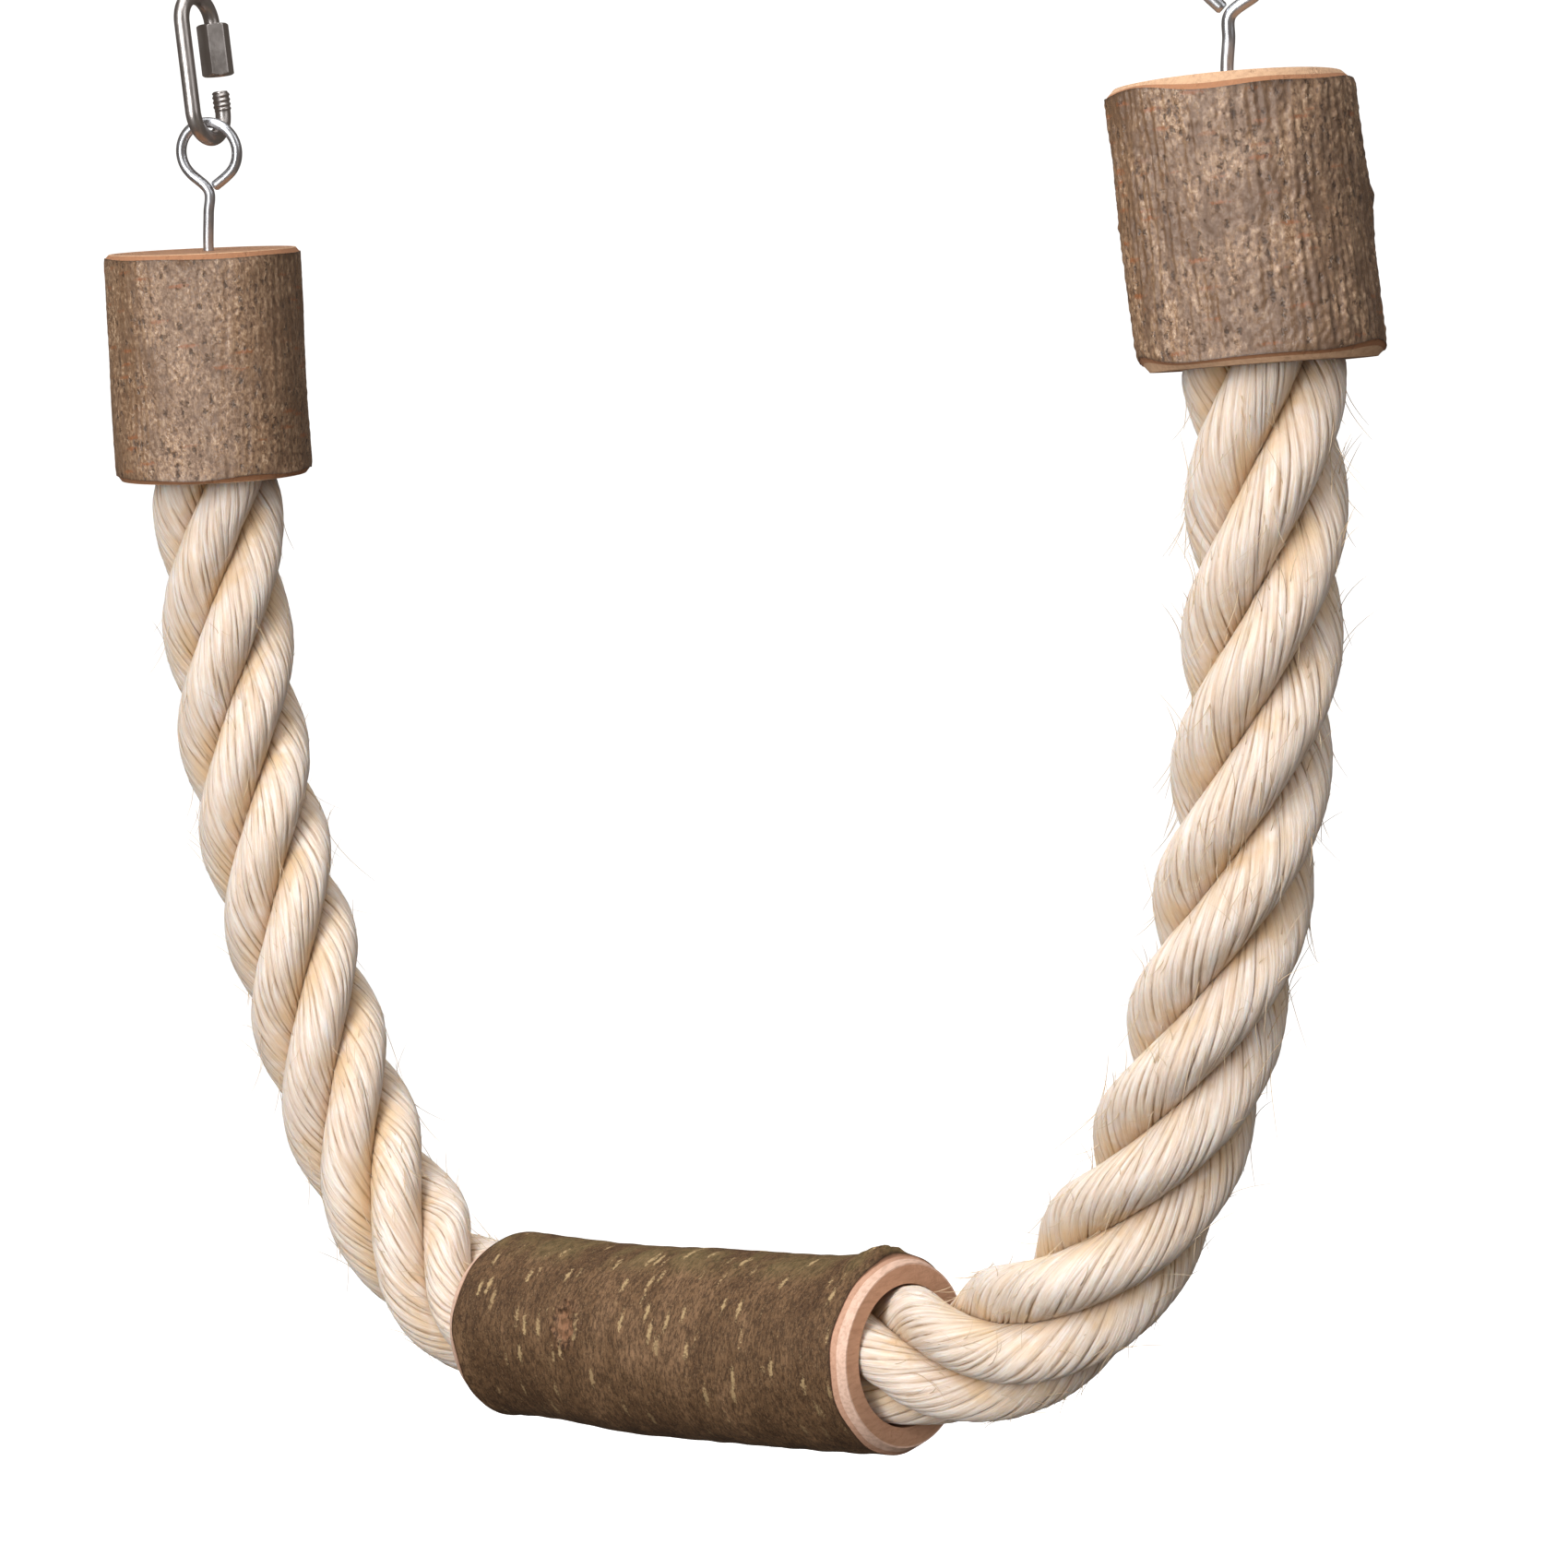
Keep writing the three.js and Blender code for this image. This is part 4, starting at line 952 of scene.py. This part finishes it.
def eye_line(tip, exit, top, yaw):
    """Middle line of the wire: up the shank to the neck, out along one arm, round a circle of the eye's width and
    back down the other arm to the neck. Both arms touch the circle. Also gives the normal of the eye's plane."""
    radius = (EYE_WIDTH - EYE_WIRE) / 2
    lift = EYE_HEIGHT - EYE_WIDTH / 2
    eye_up = unit(top - exit)
    across = np.array([np.cos(np.radians(yaw)), np.sin(np.radians(yaw)), 0])
    across = unit(across - eye_up * (across @ eye_up))
    neck = top + eye_up * (EYE_WIRE / 2 - EYE_HEIGHT)
    spread = np.arcsin(radius / lift)
    turn = np.pi + spread - (np.pi + 2 * spread) * np.linspace(0, 1, 17)[:, None]
    loop = neck + radius * np.cos(turn) * across + (lift + radius * np.sin(turn)) * eye_up
    last = neck + (EYE_WIRE / 2 + EYE_END_GAP) * (np.sin(spread) * across + np.cos(spread) * eye_up)
    shank = np.stack([tip, (tip + exit) / 2, exit, exit + 0.6 * (neck - exit), neck])
    line, _ = smooth_route(np.vstack([shank, loop, last]), EYE_STEPS)
    return line, np.cross(across, eye_up)


def hex_nut(flats, height, bore, corner=0.0):
    """Hexagonal nut on Z = 0: radius = half flats / cos(angle from a face's middle), held inside a cone at each end
    so that the corners are chamfered, with a plain bore. corner is the angle of one of its corners."""
    turn = full_turn(96) + corner
    hexagon = flats / 2 / np.cos(np.mod(turn - corner, np.pi / 3) - np.pi / 6)
    hexagon = np.minimum(hexagon, NUT_CORNER * flats / np.sqrt(3))
    side = np.array([0, 0.00012, 0.0003, 0.0005, 0.0008, 0.0011])
    climb = np.concatenate([side, np.linspace(0.0016, height - 0.0016, 5), height - side[::-1]])
    cone = NUT_FACE * flats / 2 + NUT_SLOPE * np.minimum(climb, height - climb)
    outer = np.minimum(hexagon, cone[:, None])
    bottom = [bore / 2 + 0 * turn, bore / 2 + NUT_MOUTH + 0 * turn]
    reach = np.vstack([bottom, outer, bottom[::-1]])
    climb = np.concatenate([[NUT_MOUTH, 0], climb, [height, height - NUT_MOUTH]])
    return about_z(reach, turn, climb[:, None])


zinc = brushed("zinc_plate", (0.70, 0.72, 0.76, 1), 0.34, 900.0)
for side, end in ENDS.items():
    tip, exit = end["place"](np.array([[end["bolt"], 0, -BOLT_TIP_DEPTH], [end["bolt"], 0, SHANK_STRAIGHT]]))
    line, plane = eye_line(tip, exit, np.array([end["hanger"], 0, EYE_TOP]), end["yaw"])
    wire = np.concatenate([[WIRE_END], np.ones(EYE_STEPS - 2), [WIRE_END]])[:, None] * (EYE_WIRE / 2 - EYE_ROOM)
    wire_grid = carried(line, plane, polar(wire, full_turn(24)))
    eye = skin(f"{side}_wire_eye", wire_grid, zinc, fans=(0, -1), crease=50)
    nut = hex_nut(LOCK_NUT_FLATS, LOCK_NUT_HEIGHT, 2 * WIRE_HOLE)
    nut = end["place"](nut + [end["bolt"], 0, -LOCK_NUT_SEAT - LOCK_NUT_HEIGHT])
    lock = skin(f"{side}_hex_lock_nut", nut, zinc, wrap=(True, True), crease=25)
    for piece, node in ((eye, "eye_bolt"), (lock, "lock_nut")):
        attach(piece, "swing")
        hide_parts(f"{side}_{node}")
    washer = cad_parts[f"{side}_eye_washer"]
    washer.data.materials.clear()
    washer.data.materials.append(zinc)

# Quick links: a stainless rod bent to a long ring and threaded at both ends, standing open on one side. A long
# hexagonal nut is run up on the upper thread, and closes the link when it is run down.
LINK_ROD = 0.005
LINK_BOW = 0.0085
UPPER_BOW = -0.006
LOWER_BOW = -0.034
UPPER_END = -0.021
STUB_TOP = -0.0275
THREAD_PITCH = 0.0015
THREAD_CREST = 0.0004
THREAD_FADE = 0.001
BOW_CLEARANCE = 0.002
END_BEVEL, END_SINK = 0.0006, 0.0005
LINK_NUT_FLATS = 0.0092
LINK_NUT_LENGTH = 0.0165
LINK_NUT_BOTTOM = -0.0225
LINK_NUT_BORE = 0.0064
LINK_NUT_TURN = np.radians(-16)
LINK_YAW = np.radians(15)


def link_rod():
    """Rod carried along a link: up the threaded leg, half a circle over, down the plain leg, half a circle back and
    up the stub. In both threads radius = rod + crest * (1 - |2 * fraction of the pitch - 1|), wound with the
    angle."""
    bend = np.pi * LINK_BOW
    stretch = np.cumsum([0, UPPER_BOW - UPPER_END, bend, UPPER_BOW - LOWER_BOW, bend, STUB_TOP - LOWER_BOW])
    upper, stub = stretch[1] - BOW_CLEARANCE, stretch[4]
    run = np.concatenate([
        np.linspace(0, upper, 100), np.linspace(upper, stub, 170)[1:], np.linspace(stub, stretch[5], 70)[1:],
    ])
    over, back = (run - stretch[1]) / LINK_BOW, (run - stretch[3]) / LINK_BOW
    where = [run < stretch[1], run < stretch[2], run < stretch[3], run < stretch[4]]
    y = np.select(where, [LINK_BOW + 0 * run, LINK_BOW * np.cos(over), -LINK_BOW + 0 * run, -LINK_BOW * np.cos(back)],
                  LINK_BOW)
    z = np.select(where, [UPPER_END + run, UPPER_BOW + LINK_BOW * np.sin(over), UPPER_BOW - (run - stretch[2]),
                          LOWER_BOW - LINK_BOW * np.sin(back)], LOWER_BOW + run - stretch[4])
    line = np.stack([0 * y, y, z], 1)
    turn = full_turn(36)
    ridge = 1 - np.abs(2 * np.mod(run[:, None] / THREAD_PITCH - turn / (2 * np.pi), 1) - 1)
    threaded = np.clip((upper - run) / THREAD_FADE, 0, 1) + np.clip((run - stub) / THREAD_FADE, 0, 1)
    end_taper = np.clip(np.minimum(run, stretch[5] - run) / END_BEVEL, 0, 1)
    radius = LINK_ROD / 2 + THREAD_CREST * ridge * threaded[:, None] - END_SINK * (1 - end_taper)[:, None]
    return carried(line, np.array([1.0, 0, 0]), polar(radius, turn))


link_axes = np.array([[np.cos(LINK_YAW), np.sin(LINK_YAW), 0], [-np.sin(LINK_YAW), np.cos(LINK_YAW), 0], [0, 0, 1]])
rod = link_rod() @ link_axes
sleeve = hex_nut(LINK_NUT_FLATS, LINK_NUT_LENGTH, LINK_NUT_BORE, LINK_NUT_TURN)
sleeve = (sleeve + [0, LINK_BOW, LINK_NUT_BOTTOM]) @ link_axes
for side, end in ENDS.items():
    hung = np.array([end["hanger"], 0, 0])
    link = skin(f"{side}_open_link", rod + hung, stainless, fans=(0, -1), crease=40)
    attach(link, "hangers")
    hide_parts(f"{side}_quick_link")
    nut = skin(f"{side}_sleeve_nut", sleeve + hung, stainless, wrap=(True, True), crease=25)
    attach(nut, f"{side}_nut")
    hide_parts(f"{side}_link_nut")
